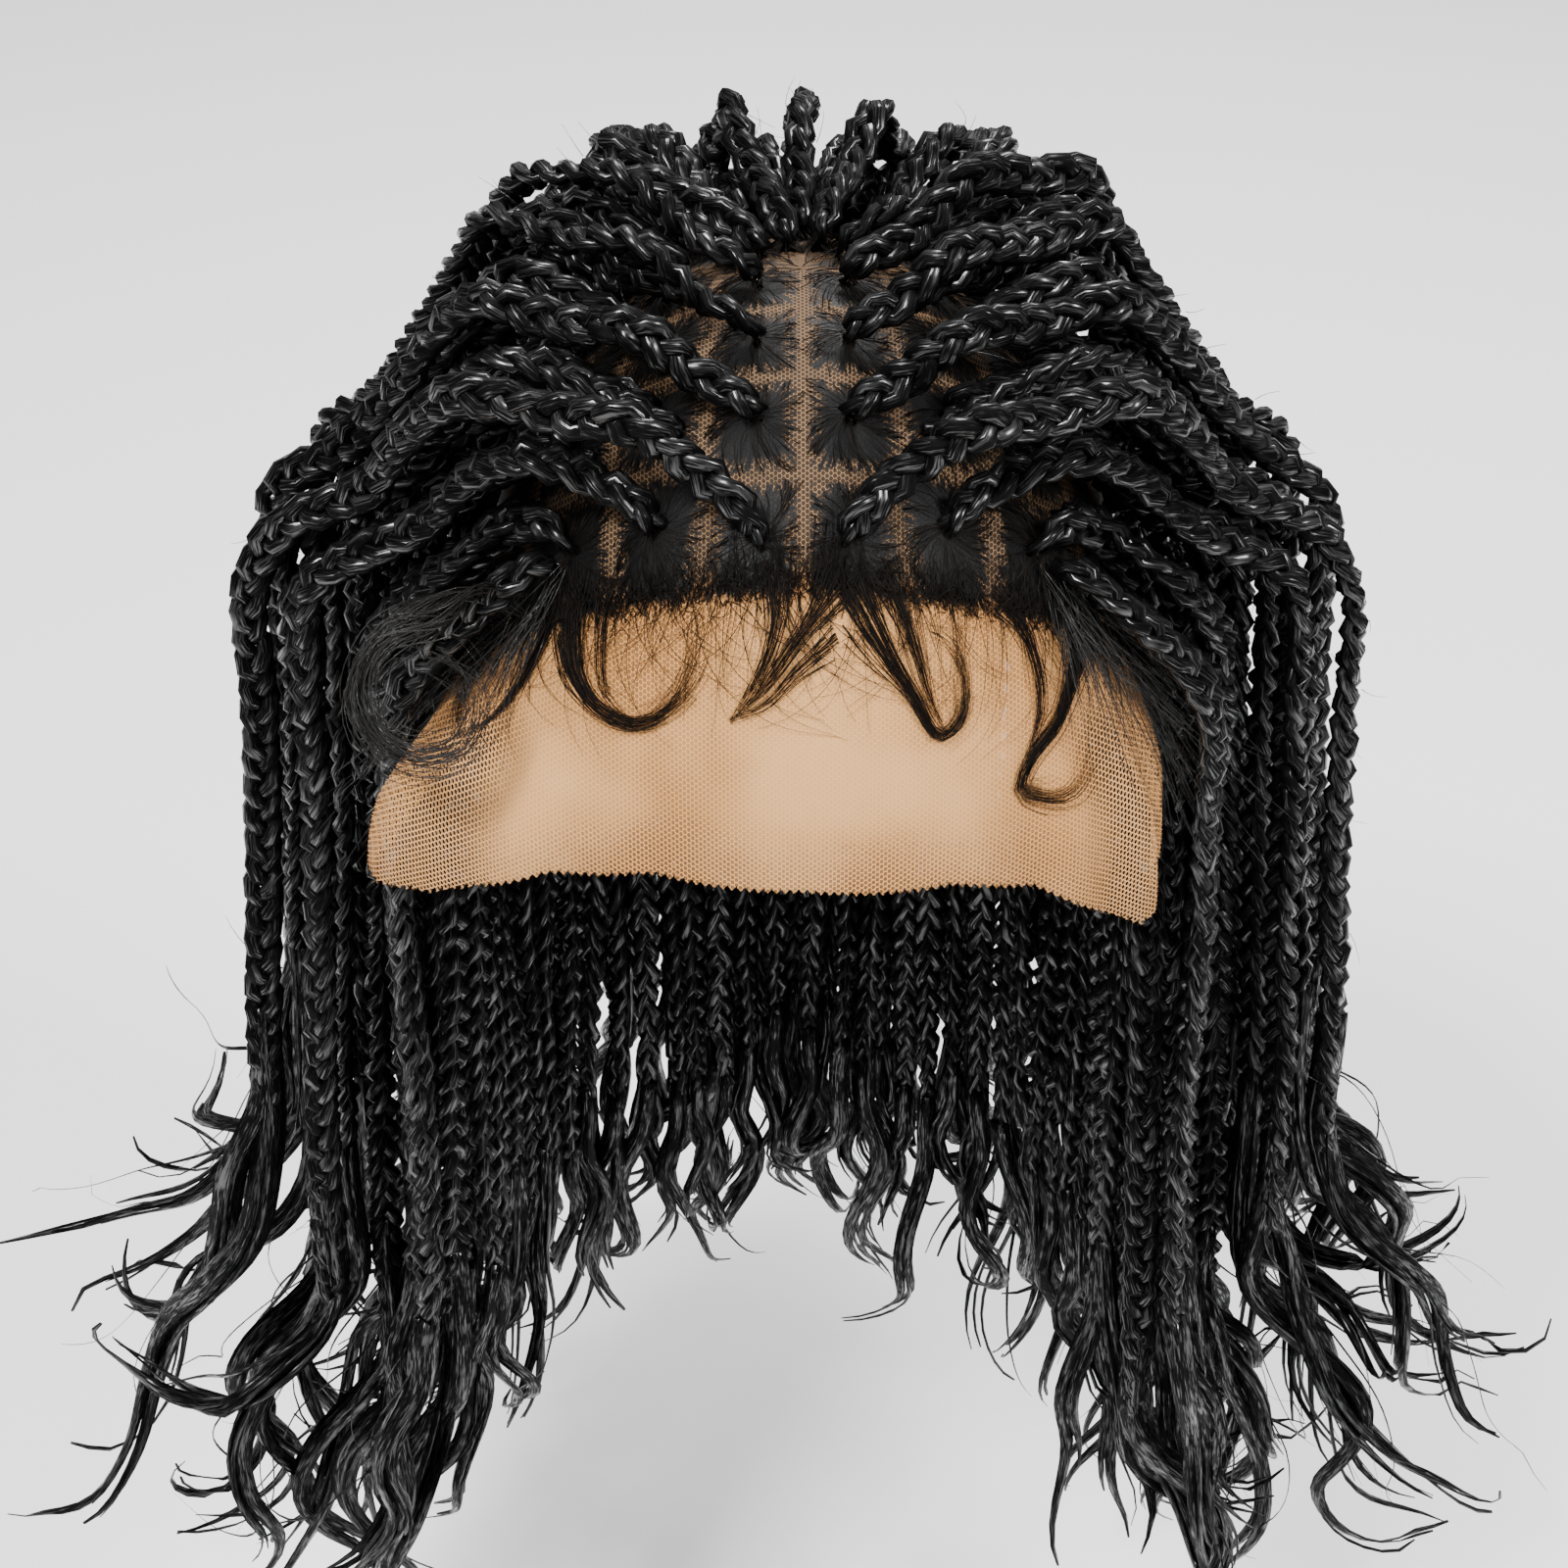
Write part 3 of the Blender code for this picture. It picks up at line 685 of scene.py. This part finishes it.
# ---------------------------------------------------------------- braids at the temples
# Below the low rows the sections at each temple have their own braids, which come straight
# out of the net beside the hairline and turn down at once behind the loose lace.
# Columns: azimuth and depth of the root, azimuth it hangs at, lift off the cap's plumb wall
TEMPLE_BRAIDS = (
    (52, 0.046, 71, 0.0215), (59, 0.057, 76, 0.0195), (66, 0.070, 80.5, 0.0215),
    (61, 0.040, 85, 0.0200), (69, 0.052, 90, 0.0215),
)
# Columns: depth, how far the braid flares out there
TEMPLE_FLARES = (
    (0.125, 0), (0.17, 0.001), (0.22, 0), (0.268, 0.002), (0.32, 0.012), (0.375, 0.016),
)
PLUMB_FROM = -DOME_CENTRE_Z


def temple_path(side, root_turn, root_depth, hang_turn, lift):
    points = []
    for share, out in ((0, 0), (0.0, 0.2), (0.25, 0.62), (0.6, 0.95)):
        turn = math.radians(root_turn + (hang_turn - root_turn) * share)
        depth = root_depth + (PLUMB_FROM - root_depth) * share
        level = (PLUMB_FROM - depth) / DOME_HEIGHT
        size = math.sqrt(1 - level**2)
        spot = np.array([
            side * HALF_WIDTH * size * math.sin(turn), -HALF_LENGTH * size * math.cos(turn), -depth,
        ])
        points.append(spot + dome_normal(spot[None])[0] * (lift * out + 0.0005))
    turn = math.radians(hang_turn)
    for depth, flare in TEMPLE_FLARES:
        points.append(np.array([
            side * (HALF_WIDTH + lift + flare) * math.sin(turn),
            -(HALF_LENGTH + lift + flare) * math.cos(turn), -depth,
        ]))
    return np.array(points)


for side_name, side in (("left", -1), ("right", 1)):
    tubes = []
    for root_turn, root_depth, hang_turn, lift in TEMPLE_BRAIDS:
        line = temple_path(side, root_turn, root_depth, hang_turn, lift)
        plait_line = smooth_path(line[:-2], FILL_STEP)
        width = FILL_WIDTH * np.interp(lengths_along(plait_line), (0, 0.01), (0.5, 1.0))
        tubes += plait(plait_line, width, chance.uniform(-0.7, 0.7), chance.normal(0, 5), 6)
        tubes += loose_end(smooth_path(line[-3:], FILL_LOOSE_STEP), 1)
    hair_object(f"temple_braids_{side_name}", tubes, hair)

# ---------------------------------------------------------------- braids down the back
# Two rows of braids from the sections behind the crown fall straight down the middle of the
# back, one row over the other, and close the space between the braids of the two sides.
# Columns: share of the way down the cap at the root, lift at the widest line, depth where
# the loose end starts, azimuths from the back in degrees
BACK_ROWS = (
    (0.52, 0.0235, 0.285, (-14.5, -9.6, -4.8, 0.3, 5.0, 9.8, 14.6)),
    (0.30, 0.0350, 0.262, (-12.0, -7.2, -2.6, 2.5, 7.3, 12.2)),
)
# Columns: drop below the plaited part, how far the loose end stands out backwards there
BACK_LOOSE_END = ((0.045, 0.006), (0.09, 0.016), (0.125, 0.024))


def back_path(off_middle, root_share, lift, loose_depth):
    """From the cap's face out over the braids beneath, straight down, and out at the end."""
    turn = math.pi + math.radians(off_middle)
    root_turn = math.pi + math.radians(off_middle * 1.5)
    root = cap_surface(np.array(root_turn), np.array(root_share))
    up = dome_normal(root[None])[0]
    points = [root, root + up * 0.004, root + up * 0.011]
    for share, out in ((root_share + 0.16, 0.7), (root_share + 0.32, 0.95)):
        spot = cap_surface(np.array((turn + root_turn) / 2), np.array(share))
        points.append(spot + dome_normal(spot[None])[0] * lift * out)
    for depth, flare in ((0.125, 0), (0.17, 0.001), (0.22, 0), (loose_depth, 0.002)):
        points.append(np.array([
            (HALF_WIDTH + lift + flare) * math.sin(turn),
            -(HALF_LENGTH + lift + flare) * math.cos(turn), -depth,
        ]))
    below = points[-1]
    swing = chance.normal(0, 0.012)
    for drop, out in BACK_LOOSE_END:
        points.append(below + np.array([swing * drop / 0.09, out, -drop]))
    return np.array(points)


tubes = []
for root_share, lift, loose_depth, offsets in BACK_ROWS:
    for off_middle in offsets:
        own_depth = loose_depth + chance.uniform(-0.012, 0.012)
        line = back_path(off_middle, root_share, lift, own_depth)
        plait_line = smooth_path(line[:-3], FILL_STEP)
        loose_line = smooth_path(line[-4:], FILL_LOOSE_STEP)
        width = BRAID_WIDTH * np.interp(lengths_along(plait_line), (0, 0.01), (0.5, 0.95))
        tubes += plait(plait_line, width, chance.uniform(-0.7, 0.7), chance.normal(0, 5), 6)
        tubes += loose_end(loose_line, 1)
hair_object("back_braids", tubes, hair)

# ---------------------------------------------------------------- braids underneath
# Below and behind the braids above, many more of the same braids hang straight down the sides
# and the back from their own sections of the cap, in two rows one over the other. At their
# ends they are unplaited too and thin out.
UNDER_TOP_Z = -0.078
UNDER_BOTTOM_Z = -0.310
UNDER_STEP = 0.0034
UNDER_WIDTH = 0.0101
# Columns: distance off the cap's plumb wall, braids in a bundle, how far the first and last
# stand in from its sides, sides of a strand, short hairs on each braid
UNDER_ROWS = ((0.0046, 4, 0.42, 5, 0), (0.0124, 3, 1.0, 6, 12))
UNDER_LOOSE_STEP = 0.0062
UNDER_WISP_SIZE = 0.0026
UNDER_WISP_SPREAD = 0.0036


def hanging_path(turn, depth, top_z, bottom_z, drift):
    """A braid's line straight down at one azimuth, a depth out from the cap's plumb wall."""
    heights = np.arange(top_z, bottom_z, -UNDER_STEP)
    share = np.linspace(0, 1, len(heights))
    at = turn + drift * share + 0.02 * np.sin(share * 5 + turn * 7)
    out = depth + 0.0012 * np.sin(share * 8 + turn * 11)
    return np.stack([
        (HALF_WIDTH + out) * np.sin(at), -(HALF_LENGTH + out) * np.cos(at), heights,
    ], axis=1)


for name in sorted(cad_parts):
    if "under_bundle" not in name:
        continue
    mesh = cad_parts[name].data
    corners = np.array([v.co[:] for v in mesh.vertices])
    azimuths = np.arctan2(corners[:, 0] / HALF_WIDTH, -corners[:, 1] / HALF_LENGTH)
    low_side, high_side = azimuths.min(), azimuths.max()
    tubes = []
    for depth, count, offset, sides, hairs in UNDER_ROWS:
        for lock in range(count):
            spot = low_side + (high_side - low_side) * (lock + offset) / (count + 2 * offset - 1)
            bottom = UNDER_BOTTOM_Z + chance.uniform(0.004, 0.034)
            path = hanging_path(spot, depth, UNDER_TOP_Z - chance.uniform(0, 0.006), bottom, 0)
            width = UNDER_WIDTH * np.interp(path[:, 2] - bottom, (0, 0.06), (0.6, 1.0))
            tubes += plait(path, width, chance.uniform(-0.7, 0.7), chance.normal(0, 4), sides)
            lean = dome_normal(path[-1:])[0] * chance.uniform(0.0, 0.03)
            lean += chance.normal(0, 0.008, 3)
            drop = chance.uniform(0.075, 0.135) * np.array([0.0, 0.33, 0.66, 1.0])[:, None]
            tail = path[-2] + drop * [0, 0, -1.0] + lean * (drop / 0.1) ** 1.5
            tail = smooth_path(tail, UNDER_LOOSE_STEP)
            rolled = curled(tail, chance.uniform(0.3, 2.6), 0.35, chance.normal(0, 0.9))
            tubes += loose_wisps(rolled, 4, UNDER_WISP_SPREAD, UNDER_WISP_SIZE)
            tubes += short_hairs(path, UNDER_WIDTH, hairs, 0.008)
    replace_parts(hair_object(name + "_plaits", tubes, hair), name)

# ---------------------------------------------------------------- roots and hairline
# Round each braid the hair of its section is drawn in flat over the net, so that short ends
# show over the parts. In front of the first row runs a line of short, fine hairs knotted
# singly into the net.
ROOT_HAIRS = 60
HAIRLINE_HAIRS = 900
EDGE_TURN = 66
# Half thickness of a hair at its root
FINE_HAIR = 0.00014
# How near the middle of a part the hair of a section ends
BARE_PART = 0.0003


def on_lace(degrees, depth, lift):
    """Points at azimuths and depths, a lift off the cap's outer face."""
    table = np.array(CAP_EDGE).T
    edge = -DOME_CENTRE_Z - np.interp(degrees, table[0], table[1])
    level = -DOME_CENTRE_Z - np.asarray(depth)
    edge = edge / np.where(edge > 0, DOME_HEIGHT, SKULL_BELOW)
    level = level / np.where(level > 0, DOME_HEIGHT, SKULL_BELOW)
    share = (math.pi / 2 - np.arcsin(level)) / (math.pi / 2 - np.arcsin(edge))
    spot = cap_surface(np.radians(degrees), share)
    return spot + dome_normal(spot) * np.reshape(lift, (-1, 1))


def fine_hair(points, thick):
    taper = np.linspace(1, 0.3, len(points)) * thick
    return hair_tube(points, dome_normal(points), taper, taper, 3)


def to_dome(points, lift):
    """The same points moved straight in or out to a lift off the cap's round face."""
    centre = np.array([0, 0, DOME_CENTRE_Z])
    scaled = (points - centre) / [HALF_WIDTH, HALF_LENGTH, DOME_HEIGHT]
    on_face = centre + (points - centre) / np.linalg.norm(scaled, axis=1)[:, None]
    return on_face + dome_normal(on_face) * np.reshape(lift, (-1, 1))


fine_black, single, single_surface = new_material("fine_knotted_hair")
_, lit = fibres_along(single, (0.5, 0.25, 0.0), (0.30, 0.06, 0.0), 0.50, 0.72)
# Painted highlight: the base colour is lighter where the fibres shine
single.join(
    single.mix(lit, (0.0008, 0.0006, 0.0005, 1), (0.0090, 0.0056, 0.0038, 1)),
    single_surface.inputs["Base Color"],
)
single.join(single.ramp(lit, 0, 1, 0.68, 0.46), single_surface.inputs["Roughness"])
single_surface.inputs["Specular IOR Level"].default_value = 0.10

tubes = []
tries = np.linspace(0.016, 0.004, 13)
for own, root in enumerate(roots):
    up = dome_normal(root[None])[0]
    east = np.cross(up, [0.0, 1.0, 0.0])
    east /= np.linalg.norm(east)
    north = np.cross(east, up)
    heading = np.sort(chance.uniform(0, 2 * math.pi, ROOT_HAIRS))
    ray = np.cos(heading)[:, None] * east + np.sin(heading)[:, None] * north
    spots = to_dome((root + ray[:, None] * tries[:, None]).reshape(-1, 3), 0)
    apart = np.linalg.norm(spots[:, None] - section_middles[None], axis=2)
    _, to_side = section_edges(spots)
    bare = spots[:, 2] + hairline_depth(np.degrees(np.arctan2(
        spots[:, 0] / HALF_WIDTH, -spots[:, 1] / HALF_LENGTH)))
    fits = (apart.argmin(axis=1) == own) & (to_side > BARE_PART) & (bare > -0.001)
    fits = fits.reshape(ROOT_HAIRS, len(tries))
    fits[:, -1] = True
    longest = tries[fits.argmax(axis=1)]
    for reach_out, start_heading in zip(longest, heading):
        reach_out *= chance.uniform(0.72, 1.10)
        away = np.linspace(1, 0.12, HAIR_RINGS)
        at = start_heading + chance.normal(0.45, 0.3) * (1 - away)
        line = root + reach_out * away[:, None] * (
            np.cos(at)[:, None] * east + np.sin(at)[:, None] * north
        )
        lift = 0.0003 + 0.0020 * np.array([0.0, 0.45, 0.8, 0.9, 1.3]) * chance.uniform(0.5, 1.2)
        tubes.append(fine_hair(to_dome(line, lift), FINE_HAIR))
for _ in range(HAIRLINE_HAIRS):
    turn = chance.uniform(-EDGE_TURN, EDGE_TURN)
    depth = hairline_depth(turn) + chance.normal(0, 0.0016)
    length = chance.uniform(0.004, 0.012)
    lean = chance.normal(0, 0.9)
    along = np.linspace(0, 1, HAIR_RINGS)
    bend = chance.normal(0, 0.5)
    aside = length * np.sin(lean + bend * along) * along
    upward = length * np.cos(lean + bend * along) * along
    degrees = turn + np.degrees(aside / (HALF_WIDTH + 0.01))
    lift = 0.0004 + along * chance.uniform(0.0002, 0.0022)
    tubes.append(fine_hair(on_lace(degrees, depth - upward, lift), FINE_HAIR))
hair_object("roots_and_hairline", tubes, fine_black)

# ---------------------------------------------------------------- laid edge hair
# Longer fine hairs at the hairline are combed down over the bare lace and set flat in swoops
# and hooks. At each temple they are left looser, in a ring on the wearer's right and a frizzy
# tuft on the wearer's left.

# Swoops. Columns: path as azimuth in degrees and depth in millimetres, hairs, spread in
# millimetres at the start, middle and end
SWOOPS = (
    (((-49, 45), (-46, 54), (-40.8, 61.8), (-33.5, 65.8), (-27.4, 65.5), (-21.9, 59.5),
      (-19, 50.4), (-19.5, 43)), 50, 7.5, 1.2, 4.4),
    (((-39, 42), (-37.5, 53), (-34.5, 62), (-29, 65.8)), 16, 6.5, 2.0, 0.9),
    (((9, 32), (4, 39), (-2, 47), (-6.5, 54), (-12.3, 61.1)), 32, 9.0, 1.7, 0.5),
    (((-6, 32), (-5, 41), (-6.5, 49), (-9, 55), (-12.3, 61.1)), 24, 6.5, 1.7, 0.5),
    (((6, 45), (-1, 51), (-6, 57), (-12.3, 61.1)), 16, 3.5, 1.4, 0.6),
    (((8, 33), (13, 45), (18.5, 57), (23.3, 66.4), (26, 65), (28.5, 57), (27, 50), (22, 46)),
     44, 8.0, 1.4, 3.4),
    (((17, 34), (19.5, 47), (21.5, 58), (24, 66.6)), 27, 7.5, 2.1, 0.6),
    (((62, 56), (56, 64.0), (46, 72), (38, 78), (36, 82), (39.5, 86), (45, 86), (50.5, 82)),
     50, 8.5, 1.5, 5.5),
    (((39, 43), (43, 55), (43, 66), (39, 75), (36, 81)), 22, 6.0, 1.6, 0.8),
    (((-50.4, 50), (-51.0, 64), (-53, 75.6), (-56.5, 82.2)), 30, 6.5, 1.9, 0.6),
    (((-64, 58), (-62.5, 69), (-60, 77), (-56.5, 82.2)), 27, 6.5, 1.9, 0.6),
)
MM_PER_DEGREE = 1.5
SWOOP_STEP = 2.6
LOOSE_EDGE_HAIRS = 190
LOOSE_EDGE_TURN = 58
FINEST_HAIR = 0.00011
tubes = []


def laid_hair(path, first, middle, last):
    """One hair near a swoop's path, a little off it by an amount that narrows and widens."""
    flat = np.array(path, float) * [MM_PER_DEGREE, 1.0]
    flat = smooth_path(np.concatenate([flat, np.zeros((len(flat), 1))], axis=1), SWOOP_STEP)[:, :2]
    begin = int(chance.uniform(0, 0.16) * len(flat))
    finish = len(flat) - int(chance.uniform(0, 0.34) * len(flat))
    flat = flat[begin:max(finish, begin + 5)]
    share = np.linspace(0, 1, len(flat))
    spread = np.interp(share, (0, 0.35, 0.75, 1), (first, middle * 1.6, middle, last))
    side = np.gradient(flat, axis=0)
    side = np.stack([-side[:, 1], side[:, 0]], axis=1)
    side /= np.linalg.norm(side, axis=1)[:, None]
    shifted = flat + side * (spread * chance.normal(0, 0.46))[:, None]
    shifted += side * (0.35 * np.sin(share * chance.uniform(3, 9) + chance.uniform(0, 6)))[:, None]
    lift = 0.0004 + chance.uniform(0.0002, 0.0016) * np.sin(np.pi * np.clip(share * 1.1, 0, 1))
    return on_lace(shifted[:, 0] / MM_PER_DEGREE, shifted[:, 1] / 1000, lift)


for path, amount, first, middle, last in SWOOPS:
    for _ in range(amount):
        tubes.append(fine_hair(laid_hair(path, first, middle, last), FINE_HAIR))
for _ in range(LOOSE_EDGE_HAIRS):
    turn = chance.uniform(-LOOSE_EDGE_TURN, LOOSE_EDGE_TURN)
    depth = 1000 * hairline_depth(turn)
    reach = chance.uniform(8, 26)
    swing = chance.normal(0, 8)
    path = (
        (turn, depth - 2), (turn + swing * 0.4, depth + reach * 0.45),
        (turn + swing, depth + reach * 0.8), (turn + swing * 1.9, depth + reach),
    )
    tubes.append(fine_hair(laid_hair(path, 1.5, 1.0, 1.5), FINEST_HAIR))
hair_object("laid_edge_hair", tubes, fine_black)

RING_CENTRE = (-0.0800, -0.0830, -0.0600)
RING_RADIUS = 0.0125
RING_HAIRS = 60
RING_SPOTS = 16
RING_STEP = 0.0034
RING_HAIR = 0.00021
ACROSS_RING = np.array([1.05, 0.0, 0.0])
UP_RING = np.array([0.0, 0.50, 0.866])
FRIZZ_HAIRS = 230
FRIZZY_HAIR = 0.00016
shiny, loose_fibre, shiny_surface = new_material("loose_shiny_hair")
_, lit = fibres_along(loose_fibre, (0.5, 0.16, 0.0), (0.30, 0.06, 0.0), 0.50, 0.70)
# Painted highlight: the base colour is lighter where the fibres shine, beside their real gloss
loose_fibre.join(
    loose_fibre.mix(lit, (0.0010, 0.0009, 0.0008, 1), (0.0130, 0.0120, 0.0110, 1)),
    shiny_surface.inputs["Base Color"],
)
loose_fibre.join(loose_fibre.ramp(lit, 0, 1, 0.50, 0.22), shiny_surface.inputs["Roughness"])
shiny_surface.inputs["Specular IOR Level"].default_value = 0.32

tubes = []
for _ in range(RING_HAIRS):
    begin = chance.uniform(0.35, 0.75) * math.pi
    sweep = chance.uniform(1.2, 1.9) * math.pi
    at = begin + np.linspace(0, sweep, RING_SPOTS)
    size = chance.normal(1, 0.10)
    radius = RING_RADIUS * (size + np.linspace(0, chance.normal(0, 0.10), RING_SPOTS))
    spots = (
        np.array(RING_CENTRE) + chance.normal(0, 0.0014, 3)
        + (radius * np.cos(at))[:, None] * ACROSS_RING
        + (radius * np.sin(at))[:, None] * UP_RING
    )
    spots[:, 1] += np.linspace(0.008, -0.004, RING_SPOTS)
    turn = -chance.uniform(54, 66)
    rooted = on_lace(np.array([turn]), np.array([hairline_depth(turn) - 0.001]), 0.0005)
    lifted = rooted * 0.5 + spots[:1] * 0.5 + [[0.0, 0.002, 0.007]]
    line = smooth_path(np.concatenate([rooted, lifted, spots[::3]]), RING_STEP)
    tubes.append(fine_hair(line, RING_HAIR))
hair_object("temple_ring", tubes, shiny)
for side_name, side in (("left", -1), ("right", 1)):
    tubes = []
    for _ in range(FRIZZ_HAIRS):
        turn = side * chance.uniform(50, 78)
        raise_by = chance.uniform(-0.002, 0.014)
        start = on_lace(np.array([turn]), np.array([hairline_depth(turn) - raise_by]), 0.001)[0]
        heading = np.array([side * chance.uniform(0.05, 0.8), -0.85, -chance.uniform(0.1, 0.9)])
        heading /= np.linalg.norm(heading)
        sag = np.array([
            side * chance.normal(0.25, 0.35), chance.normal(0.30, 0.25), -chance.uniform(0.4, 1.3),
        ])
        length = chance.uniform(0.012, 0.030)
        along = np.linspace(0, 1, 7)[:, None]
        spots = start + heading * along * length * 0.9 + sag * along**2 * length
        tubes.append(fine_hair(spots, FRIZZY_HAIR))
    hair_object(f"temple_frizz_{side_name}", tubes, shiny)

# ---------------------------------------------------------------- studio
# A plain pale floor running up to a plain pale world, with large soft lights, and the camera
# in front of and above the wig, as the photograph has it.
CAMERA_PLACE = (-0.004, -0.645, 0.271)
CAMERA_AIM = (-0.004, -0.060, -0.095)
CAMERA_LENS = 72
CAMERA_SENSOR = 36
LIGHT_AIM = (0, 0, -0.12)
WORLD_BRIGHTNESS = 0.49
TOP_LIGHT_BRIGHTNESS = 0.9
TOP_LIGHT_SOFTNESS = math.radians(20)
TOP_LIGHT_TILT = (math.radians(20), math.radians(-8), 0)
FLOOR_Z = -0.50
FLOOR_SIZE = 300
PALE_GREY = (0.93, 0.93, 0.93, 1)
for thing in bpy.context.selected_objects:
    thing.select_set(False)
bpy.ops.mesh.primitive_plane_add(size=FLOOR_SIZE, location=(0, 0, FLOOR_Z))
floor = bpy.context.object
floor_material, _, floor_surface = new_material("pale_floor")
floor_surface.inputs["Base Color"].default_value = PALE_GREY
floor_surface.inputs["Roughness"].default_value = 0.9
floor.data.materials.append(floor_material)

world = bpy.data.worlds.new("pale_studio")
world.use_nodes = True
world.node_tree.nodes["Background"].inputs["Color"].default_value = (1, 1, 1, 1)
world.node_tree.nodes["Background"].inputs["Strength"].default_value = WORLD_BRIGHTNESS
bpy.context.scene.world = world


def soft_light(name, place, power, size):
    light = bpy.data.lights.new(name, "AREA")
    light.energy = power
    light.size = size
    thing = bpy.data.objects.new(name, light)
    thing.location = place
    aim = Vector(LIGHT_AIM) - Vector(place)
    thing.rotation_euler = aim.to_track_quat("-Z", "Y").to_euler()
    bpy.context.scene.collection.objects.link(thing)
    return thing


key_light = soft_light("key_light", (-0.7, -1.1, 1.5), 70, 0.40)
fill_light = soft_light("fill_light", (1.2, -0.9, 1.1), 40, 0.40)
back_light = soft_light("back_light", (0.2, 1.3, 1.4), 44, 0.6)
top_light = bpy.data.objects.new("top_light", bpy.data.lights.new("top_light", "SUN"))
top_light.data.energy = TOP_LIGHT_BRIGHTNESS
top_light.data.angle = TOP_LIGHT_SOFTNESS
top_light.rotation_euler = TOP_LIGHT_TILT
bpy.context.scene.collection.objects.link(top_light)

camera_lens = bpy.data.cameras.new("photo_camera")
camera_lens.lens = CAMERA_LENS
camera_lens.sensor_width = CAMERA_SENSOR
camera = bpy.data.objects.new("photo_camera", camera_lens)
camera.location = CAMERA_PLACE
aim = Vector(CAMERA_AIM) - Vector(CAMERA_PLACE)
camera.rotation_euler = aim.to_track_quat("-Z", "Y").to_euler()
bpy.context.scene.collection.objects.link(camera)
bpy.context.scene.camera = camera
